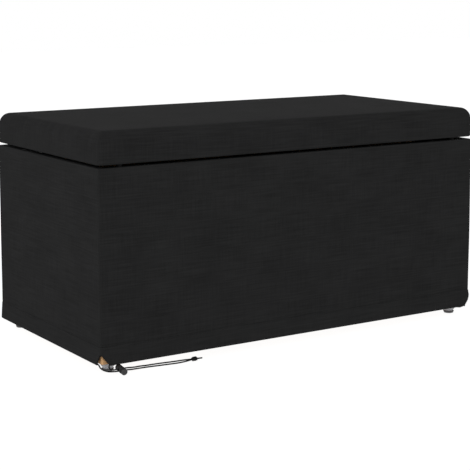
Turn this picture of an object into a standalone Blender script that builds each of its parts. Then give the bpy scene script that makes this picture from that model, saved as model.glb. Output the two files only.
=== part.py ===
"""Storage bench: a fabric-covered wooden box on four glides, with a cushioned lid.

Units are metres. The origin is on the floor under the middle of the bench. +X runs
along the bench, +Y to its back and +Z up. The lid turns on two butt hinges that lie in
the gap between box and lid, two slotted stays hold it open, and a drawcord in the hem of
the box's cover ends in a cord lock and a knot that lie on the floor.
"""

import math

import bmesh
import bpy
from mathutils import Matrix, Vector

# Overall size
LENGTH = 1.000
DEPTH = 0.500
HEIGHT = 0.500
HEM_BOTTOM = 0.019
LID_THICKNESS = 0.0685
LID_GAP = 0.006

# Materials and fits
CLEAR = 0.0003
BOARD = 0.015
BOTTOM_BOARD = 0.012
FABRIC = 0.0018
RIM_FABRIC = 0.0015
WADDING = 0.003
FABRIC_SETBACK = 0.001
COVER_CORNER = 0.004
WOOD_CORNER = 0.003
CORNER_STEPS = 4

# Levels
BOX_BOTTOM = HEM_BOTTOM + 0.0025
LID_BOTTOM = HEIGHT - LID_THICKNESS
BOX_TOP = LID_BOTTOM - LID_GAP
WOOD_TOP = BOX_TOP - RIM_FABRIC - CLEAR

# Outer faces of the wadding, and of the wooden box inside it
COVER_X = LENGTH / 2 - FABRIC_SETBACK - FABRIC - CLEAR
COVER_Y = DEPTH / 2 - FABRIC_SETBACK - FABRIC - CLEAR
WOOD_X = COVER_X - WADDING - CLEAR
WOOD_Y = COVER_Y - WADDING - CLEAR
INNER_X = WOOD_X - BOARD
INNER_Y = WOOD_Y - BOARD

# Hem of the box's cover, with the drawcord inside it
CORD_RADIUS = 0.0015
CORD_LIFT = 0.00005
HEM_HEIGHT = 0.040
HEM_PLY = 0.001
HEM_OUTSET = 2 * CLEAR + 2 * CORD_RADIUS + HEM_PLY
HEM_CORD_OUTSET = CLEAR + CORD_RADIUS
HEM_CORD_Z = HEM_BOTTOM + 0.0025
CORD_CROSSING = 0.0110
CORD_CROSSING_LEAD = 0.0045
CORD_CROSSING_DROP = 0.0021
RIM_LIP = 0.024

# The box's corners, as their signs along X and Y
CORNERS = {"front_left": (-1, -1), "front_right": (1, -1), "rear_left": (-1, 1), "rear_right": (1, 1)}

# Openings in the hem at the front corners: the width along X and Y, the height, and how
# hollow the edge is on each side. At 1 it is straight, and above 1 it curves to the corner.
OPENINGS = {
    "front_left": (0.0265, 0.0160, 0.029, 1.05, 0.75),
    "front_right": (0.0220, 0.0220, 0.028, 2.0, 2.0),
}

# Corner posts and glides
POST = 0.025
GLIDE_INSET = 0.034
GLIDE_RADIUS = 0.0152
GLIDE_WAIST = 0.0118
GLIDE_SOLE = 0.0108
GLIDE_SPIGOT = 0.0025
GLIDE_SPIGOT_LENGTH = 0.009

# Lid
LID_CORNER = 0.012
LID_TOP_ROUND = 0.024
LID_BOTTOM_ROUND = 0.007
LID_BOARD_Z = LID_BOTTOM + FABRIC + CLEAR
LID_LIP = 0.035
BUMPER_RADIUS = 0.006
BUMPER_X = 0.445

# Hinges
HINGE_X = 0.320
HINGE_LENGTH = 0.060
HINGE_LEAF = 0.0012
BARREL_RADIUS = LID_GAP / 2 - CLEAR
PIN_RADIUS = 0.0011
PIN_PROUD = 0.0005
BASE_SCREW_REACH = 0.020
LID_SCREW_REACH = 0.010
HINGE_Z = BOX_TOP + LID_GAP / 2
HINGE_Y = DEPTH / 2 - 0.0024
LEAF_FRONT_Y = INNER_Y + 0.001
HINGE_SCREW_Y = INNER_Y + 0.0065

# Wood screws
SCREW_HEAD = 0.0028
SCREW_HEAD_HEIGHT = 0.0011
SCREW_SHANK = 0.0014
SCREW_LENGTH = 0.014

# Lid stays: the stud and the pivot are equally far from the hinge axis
STAY_REACH = 0.160
PIVOT_ANGLE = math.radians(5)
STUD_ANGLE = math.radians(35)
LID_OPEN = math.radians(95)
ARM_OFFSET = 0.0059
ARM_THICK = 0.002
ARM_WIDTH = 0.014
STAY_PIN = 0.0025
STAY_HEAD = 0.0045
STAY_HEAD_HEIGHT = 0.002
STUD_FLANGE = 0.009
STUD_FLANGE_HEIGHT = 0.0018
STUD_SHANK = 0.002
STUD_DEPTH = 0.008
BRACKET_PLATE = 0.0015
BRACKET_TAB = 0.002
BRACKET_WIDTH = 0.018
BRACKET_HALF_LENGTH = 0.016
BRACKET_BOSS = 0.007
BRACKET_SCREW = 0.010

# Cord lock: a barrel tilted so that its button end is on the floor. Distances along the
# barrel are from the cords' passage, forwards below zero.
LOCK_CENTRE = Vector((-0.4555, -0.2560, 0.00905))
LOCK_TILT = math.radians(9)
LOCK_FRAME = Matrix.Translation(LOCK_CENTRE) @ Matrix.Rotation(LOCK_TILT, 4, "X")
LOCK_RADIUS = 0.0070
LOCK_FRONT = -0.0075
LOCK_REAR = 0.0155
LOCK_BORE = 0.0054
LOCK_END_WALL = 0.0025
BUTTON_RADIUS = 0.0051
BUTTON_REAR = 0.0045
CAP_RADIUS = 0.0068
CAP_REAR = -0.0109
CAP_FRONT = -0.0150
CAP_ROUND = 0.0012
BUTTON_TRAVEL = 0.003
CORD_RISE = 0.0022
SLOT_HALF_HEIGHT = CORD_RISE + CORD_RADIUS + CLEAR
SLOT_HALF_WIDTH = CORD_RADIUS + CLEAR

# Knot that ties the two cord ends together, with the length, side and height of each tail
KNOT = (-0.2800, -0.2545, 0.0050)
KNOT_LENGTH = 0.0150
KNOT_WIDTH = 0.0099
KNOT_TAILS = {"long": (0.0195, 0.0040, -0.0020), "short": (0.0100, -0.0040, 0.0006)}


# ---------------------------------------------------------------- scene and helpers

def clear_scene():
    """Removes every object, so that the model starts from nothing."""
    for item in list(bpy.data.objects):
        bpy.data.objects.remove(item, do_unlink=True)


def make_collection(name):
    collection = bpy.data.collections.new(name)
    bpy.context.scene.collection.children.link(collection)
    return collection


def make_material(name, colour, roughness, metallic=0.0):
    material = bpy.data.materials.new(name)
    material.use_nodes = True
    shader = material.node_tree.nodes["Principled BSDF"]
    shader.inputs["Base Color"].default_value = (*colour, 1.0)
    shader.inputs["Roughness"].default_value = roughness
    shader.inputs["Metallic"].default_value = metallic
    return material


clear_scene()
PARTS = make_collection("storage_bench")
CUTTERS = make_collection("cutters")

BLACK_FABRIC = make_material("black_fabric", (0.016, 0.016, 0.018), 0.92)
PINE = make_material("pine", (0.62, 0.45, 0.28), 0.60)
PLYWOOD = make_material("plywood", (0.58, 0.42, 0.27), 0.62)
FOAM = make_material("foam", (0.78, 0.74, 0.62), 0.95)
WADDING_FLEECE = make_material("wadding_fleece", (0.80, 0.80, 0.78), 0.95)
UNDERCLOTH = make_material("undercloth", (0.03, 0.03, 0.03), 0.95)
GREY_PLASTIC = make_material("grey_plastic", (0.19, 0.19, 0.20), 0.38)
ZINC = make_material("zinc_plate", (0.62, 0.62, 0.60), 0.32, 1.0)
STEEL = make_material("screw_steel", (0.66, 0.60, 0.42), 0.35, 1.0)
RUBBER = make_material("rubber", (0.02, 0.02, 0.02), 0.80)
LOCK_PLASTIC = make_material("lock_plastic", (0.045, 0.045, 0.047), 0.45)
CORD = make_material("cord", (0.012, 0.012, 0.012), 0.85)


def place(item, material, collection=None):
    """Puts an object in its collection with its one material, and returns it."""
    for owner in list(item.users_collection):
        owner.objects.unlink(item)
    (collection or PARTS).objects.link(item)
    item.data.materials.clear()
    item.data.materials.append(material)
    return item


def as_cutter(item):
    """Marks an object as a tool for Boolean modifiers, not a piece of the bench."""
    place(item, RUBBER, CUTTERS)
    item.hide_render = True
    item.display_type = "WIRE"
    return item


def smooth(item):
    item.data.shade_smooth()
    if isinstance(item.data, bpy.types.Mesh):
        item.data.set_sharp_from_angle(angle=math.radians(35))
    return item


def boolean(target, tool, operation):
    modifier = target.modifiers.new(operation.lower(), "BOOLEAN")
    modifier.operation = operation
    modifier.solver = "EXACT"
    modifier.object = tool
    return target


def cut(target, tool):
    return boolean(target, as_cutter(tool), "DIFFERENCE")


def join(target, tool):
    return boolean(target, as_cutter(tool), "UNION")


def box(name, low, high, material):
    """A rectangular block between two corners."""
    low, high = Vector(low), Vector(high)
    bpy.ops.mesh.primitive_cube_add(size=1.0, location=(low + high) / 2)
    item = bpy.context.object
    item.name = name
    item.data.transform(Matrix.Diagonal((*(high - low), 1.0)))
    return place(item, material)


def ease_edges(item, width=0.001, segments=1):
    """Breaks the sharp edges of a board."""
    bevel = item.modifiers.new("eased_edges", "BEVEL")
    bevel.width = width
    bevel.segments = segments
    bevel.limit_method = "ANGLE"
    return item


def rod(name, start, end, radius, material, sides=24):
    """A plain cylinder between two points."""
    start, end = Vector(start), Vector(end)
    span = end - start
    bpy.ops.mesh.primitive_cylinder_add(vertices=sides, radius=radius, depth=span.length)
    item = bpy.context.object
    item.name = name
    item.data.transform(span.to_track_quat("Z", "Y").to_matrix().to_4x4())
    item.location = (start + end) / 2
    return smooth(place(item, material))


def turned(name, profile, material, sides=24, location=(0, 0, 0), rotation=(0, 0, 0)):
    """A turned shape. The profile is (radius, height) from the top pole to the bottom."""
    mesh = bpy.data.meshes.new(name)
    points = [(radius, 0.0, height) for radius, height in profile]
    mesh.from_pydata(points, [(i, i + 1) for i in range(len(points) - 1)], [])
    item = bpy.data.objects.new(name, mesh)
    place(item, material)
    turn = item.modifiers.new("turn", "SCREW")
    turn.axis = "Z"
    turn.angle = math.tau
    turn.steps = sides
    turn.render_steps = sides
    turn.use_merge_vertices = True
    turn.merge_threshold = 0.00001
    turn.use_smooth_shade = False
    item.location = location
    item.rotation_euler = rotation
    return item


def tube(name, points, radius, material, resolution=2):
    """A round cord or wire through the points, with closed ends."""
    curve = bpy.data.curves.new(name, "CURVE")
    curve.dimensions = "3D"
    curve.bevel_depth = radius
    curve.bevel_resolution = resolution
    curve.use_fill_caps = True
    spline = curve.splines.new("POLY")
    spline.points.add(len(points) - 1)
    for target, point in zip(spline.points, points):
        target.co = (*point, 1.0)
    item = bpy.data.objects.new(name, curve)
    return place(item, material)


def flat_outline(name, loops, thickness, material):
    """A flat plate with holes, from closed loops of (x, y) in its own plane."""
    curve = bpy.data.curves.new(name, "CURVE")
    curve.dimensions = "2D"
    curve.fill_mode = "BOTH"
    curve.extrude = thickness / 2
    for loop in loops:
        spline = curve.splines.new("POLY")
        spline.points.add(len(loop) - 1)
        for target, (x, y) in zip(spline.points, loop):
            target.co = (x, y, 0.0, 1.0)
        spline.use_cyclic_u = True
    item = bpy.data.objects.new(name, curve)
    return place(item, material)


def to_mesh(item):
    """Turns a curve object into a closed mesh object in the same place."""
    bpy.context.view_layer.update()
    graph = bpy.context.evaluated_depsgraph_get()
    mesh = bpy.data.meshes.new_from_object(item.evaluated_get(graph))
    shape = bmesh.new()
    shape.from_mesh(mesh)
    bmesh.ops.remove_doubles(shape, verts=shape.verts, dist=0.00001)
    bmesh.ops.recalc_face_normals(shape, faces=shape.faces)
    shape.to_mesh(mesh)
    shape.free()
    name, matrix = item.name, item.matrix_world.copy()
    material = item.data.materials[0]
    bpy.data.objects.remove(item, do_unlink=True)
    solid = bpy.data.objects.new(name, mesh)
    solid.matrix_world = matrix
    return place(solid, material)


def arc(centre, radius, start, end, steps):
    """Points on an arc in a plane, with the angles in degrees."""
    points = []
    for step in range(steps + 1):
        angle = math.radians(start + (end - start) * step / steps)
        x = centre[0] + radius * math.cos(angle)
        y = centre[1] + radius * math.sin(angle)
        points.append((x, y))
    return points


def stadium(start_x, end_x, radius, steps=6):
    """A slot outline along x, with round ends centred on start_x and end_x."""
    left = arc((start_x, 0), radius, 90, 270, steps)
    return left + arc((end_x, 0), radius, -90, 90, steps)


def rounded_ring(half_x, half_y, radius, z):
    """Points round a rectangle with rounded corners, anticlockwise from +X."""
    points = []
    for quadrant, (side_x, side_y) in enumerate(((1, 1), (-1, 1), (-1, -1), (1, -1))):
        centre = (side_x * (half_x - radius), side_y * (half_y - radius))
        start = 90 * quadrant
        points += [(x, y, z) for x, y in arc(centre, radius, start, start + 90, CORNER_STEPS)]
    return points


def ring_sweep(name, profile, half_x, half_y, corner, material, capped=False):
    """A profile of (outset, height) swept round a rounded rectangle.

    Without caps the profile is a closed loop, which makes a frame. With caps it runs
    from one end ring to the other, and both end rings are filled.
    """
    shape = bmesh.new()
    rings = []
    for outset, z in profile:
        radius = max(corner + outset, 0.0006)
        points = rounded_ring(half_x + outset, half_y + outset, radius, z)
        rings.append([shape.verts.new(point) for point in points])
    pairs = list(zip(rings, rings[1:]))
    if capped:
        shape.faces.new(rings[0])
        shape.faces.new(rings[-1])
    else:
        pairs.append((rings[-1], rings[0]))
    for upper, lower in pairs:
        count = len(upper)
        for i in range(count):
            j = (i + 1) % count
            shape.faces.new((upper[i], upper[j], lower[j], lower[i]))
    bmesh.ops.recalc_face_normals(shape, faces=shape.faces)
    mesh = bpy.data.meshes.new(name)
    shape.to_mesh(mesh)
    shape.free()
    return smooth(place(bpy.data.objects.new(name, mesh), material))


def smooth_route(points, spacing):
    """Points at even parameter steps on a smooth curve through the given ones."""
    points = [Vector(point) for point in points]
    ends = [2 * points[0] - points[1], *points, 2 * points[-1] - points[-2]]
    route = []
    for before, start, end, after in zip(ends, ends[1:], ends[2:], ends[3:]):
        count = max(1, round((end - start).length / spacing))
        for step in range(count):
            t = step / count
            route.append(0.5 * (2 * start + (end - before) * t
                                + (2 * before - 5 * start + 4 * end - after) * t ** 2
                                + (3 * start - before - 3 * end + after) * t ** 3))
    route.append(points[-1])
    return route


def wood_screw(name, head, upward, targets):
    """A countersunk screw with its head face at a point, and its hole in each target."""
    turn = (math.pi, 0, 0) if upward else (0, 0, 0)
    shank_end = SCREW_HEAD - SCREW_LENGTH
    profile = [(0, 0), (SCREW_HEAD, 0), (SCREW_SHANK, -SCREW_HEAD_HEIGHT),
               (SCREW_SHANK, shank_end), (0, -SCREW_LENGTH)]
    turned(name, profile, STEEL, 12, head, turn)
    wide = SCREW_HEAD + CLEAR
    bore = SCREW_SHANK + CLEAR
    hole = [(0, 0.001), (wide, 0.001), (wide, 0), (bore, -SCREW_HEAD_HEIGHT),
            (bore, -SCREW_LENGTH - CLEAR), (0, -SCREW_LENGTH - CLEAR)]
    cutter = as_cutter(turned(f"{name}_hole", hole, RUBBER, 12, head, turn))
    for target in targets:
        boolean(target, cutter, "DIFFERENCE")


# ---------------------------------------------------------------- wooden box

def wooden_box():
    """Four panels, the bottom board between them and a post in each corner."""
    panels = {}
    for name, side in (("front", -1), ("back", 1)):
        ends = sorted((side * WOOD_Y, side * INNER_Y))
        panel = box(f"{name}_panel", (-WOOD_X, ends[0], BOX_BOTTOM),
                    (WOOD_X, ends[1], WOOD_TOP), PLYWOOD)
        round_outer_corners(panel, side * WOOD_Y)
        panels[name] = panel
    reach = INNER_Y - CLEAR
    for name, side in (("left", -1), ("right", 1)):
        ends = sorted((side * WOOD_X, side * INNER_X))
        panels[name] = ease_edges(box(f"{name}_panel", (ends[0], -reach, BOX_BOTTOM),
                                      (ends[1], reach, WOOD_TOP), PLYWOOD), 0.0005)
    panels["bottom"] = box("bottom_board", (-INNER_X + CLEAR, -reach, BOX_BOTTOM),
                           (INNER_X - CLEAR, reach, BOX_BOTTOM + BOTTOM_BOARD), PLYWOOD)
    foot = BOX_BOTTOM + BOTTOM_BOARD + CLEAR
    top = BOX_TOP - RIM_LIP - CLEAR
    for name, (side_x, side_y) in CORNERS.items():
        near_x, far_x = side_x * (INNER_X - CLEAR), side_x * (INNER_X - CLEAR - POST)
        near_y, far_y = side_y * (INNER_Y - CLEAR), side_y * (INNER_Y - CLEAR - POST)
        low = (min(near_x, far_x), min(near_y, far_y), foot)
        high = (max(near_x, far_x), max(near_y, far_y), top)
        ease_edges(box(f"corner_post_{name}", low, high, PINE), 0.0015)
    return panels


def round_outer_corners(panel, outer_y):
    """Rounds the panel's two upright outer edges, which are the box's corners."""
    shape = bmesh.new()
    shape.from_mesh(panel.data)
    local_y = outer_y - panel.location.y
    uprights = []
    for edge in shape.edges:
        first, second = (vert.co for vert in edge.verts)
        upright = abs(first.x - second.x) < CLEAR and abs(first.y - second.y) < CLEAR
        if upright and abs(first.y - local_y) < CLEAR:
            uprights.append(edge)
    bmesh.ops.bevel(shape, geom=uprights, offset=WOOD_CORNER, segments=CORNER_STEPS,
                    profile=0.5, affect="EDGES")
    shape.to_mesh(panel.data)
    shape.free()


def glides(bottom_board):
    """Round glides with a spigot each, under the corners of the bottom board."""
    top = BOX_BOTTOM - CLEAR
    pin_top = BOX_BOTTOM + GLIDE_SPIGOT_LENGTH
    edge = GLIDE_WAIST - GLIDE_SOLE
    bowl_round = 0.0054
    bowl_z, waist_z = 0.0116, 0.0052
    bowl = arc((GLIDE_RADIUS - bowl_round, bowl_z), bowl_round, 0, -62, 3)
    profile = [(0, pin_top), (GLIDE_SPIGOT, pin_top), (GLIDE_SPIGOT, top),
               (GLIDE_RADIUS - edge, top), (GLIDE_RADIUS, top - edge),
               (GLIDE_RADIUS, bowl_z + 0.002), *bowl, (GLIDE_WAIST, waist_z),
               (GLIDE_WAIST, edge), (GLIDE_SOLE, 0.0), (0, 0.0)]
    for name, (side_x, side_y) in CORNERS.items():
        x = side_x * (LENGTH / 2 - GLIDE_INSET)
        y = side_y * (DEPTH / 2 - GLIDE_INSET)
        turned(f"glide_{name}", profile, GREY_PLASTIC, 20, (x, y, 0))
        cut(bottom_board, rod(f"glide_hole_{name}", (x, y, BOX_BOTTOM - 0.002),
                              (x, y, pin_top + CLEAR), GLIDE_SPIGOT + CLEAR, RUBBER))


# ---------------------------------------------------------------- cover of the box

def base_cover():
    """The slipcover: over the rim at the top, with a hem at the bottom."""
    face = CLEAR + FABRIC
    lip = WOOD_X - COVER_X - BOARD - CLEAR
    hem_top = HEM_BOTTOM + HEM_HEIGHT
    channel_low = HEM_CORD_Z - CORD_RADIUS - CLEAR
    channel_high = HEM_CORD_Z + CORD_RADIUS + CLEAR
    profile = [
        (face, BOX_TOP - 0.0015), (face - 0.0015, BOX_TOP),
        (lip - RIM_FABRIC, BOX_TOP), (lip - RIM_FABRIC, BOX_TOP - RIM_LIP),
        (lip, BOX_TOP - RIM_LIP), (lip, WOOD_TOP + CLEAR), (CLEAR, WOOD_TOP + CLEAR),
        (CLEAR, channel_high), (HEM_OUTSET - HEM_PLY, channel_high),
        (HEM_OUTSET - HEM_PLY, channel_low), (CLEAR, channel_low), (CLEAR, HEM_BOTTOM),
        (HEM_OUTSET - 0.0008, HEM_BOTTOM), (HEM_OUTSET, HEM_BOTTOM + 0.0008),
        (HEM_OUTSET, channel_high + 0.003), (face + 0.0006, hem_top), (face, hem_top + 0.001),
    ]
    cover = ring_sweep("base_cover", profile, COVER_X, COVER_Y, COVER_CORNER, BLACK_FABRIC)
    for name, opening in OPENINGS.items():
        cut(cover, opening_cutter(f"opening_{name}", *CORNERS[name], *opening))
    return cover


def side_wadding():
    """A thin layer of wadding round the wooden box, under its cover."""
    low = HEM_BOTTOM + HEM_HEIGHT
    profile = [(0, WOOD_TOP), (-WADDING, WOOD_TOP), (-WADDING, low), (0, low)]
    ring_sweep("side_wadding", profile, COVER_X, COVER_Y, COVER_CORNER, WADDING_FLEECE)


def opening_cutter(name, side_x, side_y, width_x, width_y, height, hollow_x, hollow_y):
    """A prism across one corner of the hem, with its peak at the corner."""
    corner = Vector((side_x * (COVER_X + HEM_OUTSET), side_y * (COVER_Y + HEM_OUTSET), 0))
    mouth_x = corner - Vector((side_x * width_x, 0, 0))
    mouth_y = corner - Vector((0, side_y * width_y, 0))
    across = (mouth_y - mouth_x).normalized()
    reach_x = (corner - mouth_x).dot(across)
    reach_y = (mouth_y - corner).dot(across)
    below, steps = -0.005, 6
    outline = [(-reach_x, below), (reach_y, below)]
    for step in range(steps + 1):
        share = 1 - step / steps
        outline.append((reach_y * share, height * (1 - share) ** hollow_y))
    for step in range(1, steps + 1):
        share = step / steps
        outline.append((-reach_x * share, height * (1 - share) ** hollow_x))
    prism = to_mesh(flat_outline(name, [outline], 0.080, RUBBER))
    up = Vector((0, 0, 1))
    outward = across.cross(up)
    centre = corner + up * HEM_BOTTOM
    prism.matrix_world = Matrix((
        (across.x, up.x, outward.x, centre.x),
        (across.y, up.y, outward.y, centre.y),
        (across.z, up.z, outward.z, centre.z),
        (0, 0, 0, 1)))
    return prism


def hem_drawcord():
    """The part of the drawcord inside the hem, right round from mouth to mouth.

    At the front right opening it passes under the wooden box's corner.
    """
    half_x, half_y = COVER_X + HEM_CORD_OUTSET, COVER_Y + HEM_CORD_OUTSET
    ring = rounded_ring(half_x, half_y, COVER_CORNER + HEM_CORD_OUTSET, HEM_CORD_Z)
    per_corner = CORNER_STEPS + 1
    rear_right, rear_left = ring[:per_corner], ring[per_corner:2 * per_corner]
    drop = CORD_CROSSING_DROP
    in_hem, in_opening = CORD_CROSSING + CORD_CROSSING_LEAD, CORD_CROSSING
    crossing = [
        (half_x, -half_y + in_hem, HEM_CORD_Z),
        (half_x - CLEAR, -half_y + in_opening, HEM_CORD_Z - drop),
        (half_x - in_opening, -half_y + CLEAR, HEM_CORD_Z - drop),
        (half_x - in_hem, -half_y, HEM_CORD_Z),
    ]
    left_mouth, front_mouth = cord_mouths()
    route = [left_mouth, *reversed(rear_left), *reversed(rear_right), *crossing, front_mouth]
    tube("hem_drawcord", route, CORD_RADIUS, CORD)


def cord_mouths():
    """Where the drawcord leaves the hem, left and right of the front left corner."""
    width_x, width_y, *_ = OPENINGS["front_left"]
    corner_x, corner_y = COVER_X + HEM_OUTSET, COVER_Y + HEM_OUTSET
    left = (-COVER_X - HEM_CORD_OUTSET, -corner_y + width_y, HEM_CORD_Z)
    front = (-corner_x + width_x, -COVER_Y - HEM_CORD_OUTSET, HEM_CORD_Z)
    return left, front


# ---------------------------------------------------------------- cord ends and lock

def cord_ends():
    """The two free cord ends, from the hem through the lock and along the floor to the knot."""
    (left_x, left_y, z), (front_x, front_y, _) = cord_mouths()
    lock_left, lock_right = Vector((-LOCK_RADIUS, 0, 0)), Vector((LOCK_RADIUS, 0, 0))
    rise = Vector((0, 0, CORD_RISE))
    knot_x, knot_y, knot_z = KNOT
    knot_start = knot_x - KNOT_LENGTH / 2 - CLEAR
    floor = CORD_RADIUS + CORD_LIFT
    left = [
        (left_x, left_y - CLEAR, z), (left_x, left_y - 0.0035, z - 0.0004),
        (left_x - 0.0003, left_y - 0.0070, z - 0.0018), (-0.4994, -0.2462, 0.0178),
        (-0.4988, -0.2500, 0.0161), (-0.4968, -0.2532, 0.0142), (-0.4928, -0.2552, 0.0120),
        (-0.4850, -0.2556, 0.0092), (-0.4770, -0.2552, 0.0077), (-0.4695, -0.2554, 0.0070),
        LOCK_FRAME @ (lock_left - rise), LOCK_FRAME @ (lock_right - rise),
        (-0.4400, -0.2566, 0.0066), (-0.4310, -0.2560, 0.0058), (-0.4145, -0.2517, 0.0042),
        (-0.3945, -0.2475, 0.0025), (-0.3760, -0.2465, floor), (-0.3573, -0.2489, floor),
        (-0.3393, -0.2510, floor), (-0.3211, -0.2531, floor), (-0.3030, -0.2548, 0.0026),
        (knot_start, knot_y - 0.0019, knot_z - 0.0003),
    ]
    right = [
        *half_turn(Vector((front_x - CLEAR, front_y, z)), LOCK_FRAME @ (lock_left + rise)),
        LOCK_FRAME @ (lock_left + rise), LOCK_FRAME @ (lock_right + rise),
        (-0.4400, -0.2562, 0.0109), (-0.4310, -0.2544, 0.0096), (-0.4200, -0.2505, 0.0079),
        (-0.4105, -0.2455, 0.0064), (-0.3990, -0.2402, 0.0045), (-0.3880, -0.2365, 0.0028),
        (-0.3690, -0.2338, 0.0017), (-0.3494, -0.2350, floor), (-0.3313, -0.2373, floor),
        (-0.3130, -0.2400, 0.0018), (-0.3000, -0.2445, 0.0030),
        (knot_start, knot_y + 0.0019, knot_z - 0.0003),
    ]
    tube("drawcord_left_end", smooth_route(left, 0.006), CORD_RADIUS, CORD)
    tube("drawcord_right_end", smooth_route(right, 0.006), CORD_RADIUS, CORD)


def half_turn(start, end):
    """Points of half a turn, leaving the start leftwards and coming back level with the end."""
    middle, arm = (start + end) / 2, (start - end) / 2
    arm.x = 0
    points = []
    for step in range(7):
        angle = math.pi * step / 6
        point = middle + arm * math.cos(angle)
        point.x = start.x - arm.length * math.sin(angle)
        points.append(tuple(point))
    return points


def knot():
    """The knot in both ends, with the two short tails that stick out of it."""
    bpy.ops.mesh.primitive_uv_sphere_add(segments=20, ring_count=12, radius=0.5)
    body = bpy.context.object
    body.name = "drawcord_knot"
    body.data.transform(Matrix.Diagonal((KNOT_LENGTH, KNOT_WIDTH, KNOT_WIDTH, 1.0)))
    body.location = KNOT
    smooth(place(body, CORD))
    for name, reach in KNOT_TAILS.items():
        join(body, rod(f"{name}_tail", KNOT, Vector(KNOT) + Vector(reach), CORD_RADIUS, RUBBER, 10))


def cord_lock():
    """A barrel cord lock: body, sprung button and spring, on one tilted axis."""
    bore_end = LOCK_REAR - LOCK_END_WALL
    front, rear = LOCK_FRONT, LOCK_REAR
    shell = [(0, rear), (LOCK_RADIUS - 0.0012, rear), (LOCK_RADIUS, rear - 0.0012),
             (LOCK_RADIUS, front + 0.0006), (LOCK_RADIUS - 0.0006, front), (LOCK_BORE, front),
             (LOCK_BORE, bore_end), (0, bore_end)]
    body = turned("cord_lock_body", shell, LOCK_PLASTIC, 28)
    edge = arc((CAP_RADIUS - CAP_ROUND, CAP_FRONT + CAP_ROUND), CAP_ROUND, 0, -90, 3)
    plunger = [(0, BUTTON_REAR), (BUTTON_RADIUS, BUTTON_REAR), (BUTTON_RADIUS, CAP_REAR),
               (CAP_RADIUS, CAP_REAR), *edge, (0, CAP_FRONT)]
    button = turned("cord_lock_button", plunger, LOCK_PLASTIC, 28)
    for item in (body, button):
        item.matrix_world = LOCK_FRAME @ Matrix.Rotation(-math.pi / 2, 4, "X")
    reach = 2 * LOCK_RADIUS
    for item, slot_front in ((body, -SLOT_HALF_WIDTH), (button, -SLOT_HALF_WIDTH - BUTTON_TRAVEL)):
        slot = box(f"{item.name}_slot", (-reach, slot_front, -SLOT_HALF_HEIGHT),
                   (reach, SLOT_HALF_WIDTH, SLOT_HALF_HEIGHT), RUBBER)
        slot.matrix_world = LOCK_FRAME @ Matrix.Translation(slot.location)
        cut(item, slot)
    wire, coil, turns, per_turn = 0.0004, 0.0036, 3.5, 8
    start = BUTTON_REAR + CLEAR + wire
    rise = bore_end - CLEAR - wire - start
    points = []
    for step in range(int(turns * per_turn) + 1):
        share = step / (turns * per_turn)
        angle = math.tau * turns * share
        points.append(LOCK_FRAME @ Vector((coil * math.cos(angle), start + rise * share,
                                           coil * math.sin(angle))))
    tube("cord_lock_spring", points, wire, STEEL)


# ---------------------------------------------------------------- lid

def lid_profile(shrink):
    """The lid's side from its underside to its top, moved in by shrink."""
    low = arc((-LID_BOTTOM_ROUND, LID_BOTTOM + LID_BOTTOM_ROUND),
              LID_BOTTOM_ROUND - shrink, -90, 0, 4)
    high = arc((-LID_TOP_ROUND, HEIGHT - LID_TOP_ROUND), LID_TOP_ROUND - shrink, 0, 90, 6)
    return low + high


def lid():
    """Board, foam and cover of the lid, and the cloth that closes its underside."""
    half_x, half_y = LENGTH / 2, DEPTH / 2
    lip = -LID_BOTTOM_ROUND - LID_LIP
    outer = lid_profile(0)
    inner = lid_profile(FABRIC)
    profile = [*reversed(outer), (lip, LID_BOTTOM), (lip, LID_BOTTOM + FABRIC), *inner]
    cover = ring_sweep("lid_cover", profile, half_x, half_y, LID_CORNER, BLACK_FABRIC, True)
    edge = -FABRIC - 2 * CLEAR
    board_top = LID_BOARD_Z + BOARD
    board_side = [(edge - 0.0035, LID_BOARD_Z), (edge - 0.0010, LID_BOARD_Z + 0.0018),
                  (edge, LID_BOARD_Z + 0.0045), (edge, board_top)]
    board = ring_sweep("lid_board", board_side, half_x, half_y, LID_CORNER, PLYWOOD, True)
    pad_top = arc((-LID_TOP_ROUND, HEIGHT - LID_TOP_ROUND),
                  LID_TOP_ROUND - FABRIC - CLEAR, 0, 90, 6)
    pad = [(pad_top[0][0], board_top + CLEAR), *pad_top]
    ring_sweep("lid_foam", pad, half_x, half_y, LID_CORNER, FOAM, True)
    cloth_x, cloth_y = half_x + lip - CLEAR, half_y + lip - CLEAR
    box("lid_underside_cloth", (-cloth_x, -cloth_y, LID_BOTTOM + CLEAR),
        (cloth_x, cloth_y, LID_BOTTOM + FABRIC), UNDERCLOTH)
    for name, side in (("left", -1), ("right", 1)):
        x, y = side * BUMPER_X, -(WOOD_Y + INNER_Y) / 2
        rod(f"lid_bumper_{name}", (x, y, BOX_TOP + CLEAR), (x, y, LID_BOTTOM - CLEAR),
            BUMPER_RADIUS, RUBBER, 20)
    return board, cover


# ---------------------------------------------------------------- hinges

def hinge_leaf(name, x, low_z, spans, notches):
    """A leaf notched for the other leaf's knuckles, with its own on the spans given."""
    half = HINGE_LENGTH / 2
    leaf = box(name, (x - half, LEAF_FRONT_Y, low_z),
               (x + half, HINGE_Y, low_z + HINGE_LEAF), ZINC)
    notch_front = HINGE_Y - BARREL_RADIUS - 0.0004
    for index, (start, end) in enumerate(notches):
        cut(leaf, box(f"{name}_notch_{index}", (x + start, notch_front, low_z - 0.001),
                      (x + end, HINGE_Y + 0.001, low_z + HINGE_LEAF + 0.001), RUBBER))
    for index, (start, end) in enumerate(spans):
        join(leaf, rod(f"{name}_knuckle_{index}", (x + start, HINGE_Y, HINGE_Z),
                       (x + end, HINGE_Y, HINGE_Z), BARREL_RADIUS, RUBBER, 24))
    cut(leaf, rod(f"{name}_bore", (x - HINGE_LENGTH, HINGE_Y, HINGE_Z),
                  (x + HINGE_LENGTH, HINGE_Y, HINGE_Z), PIN_RADIUS + CLEAR, RUBBER, 20))
    return leaf


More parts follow.
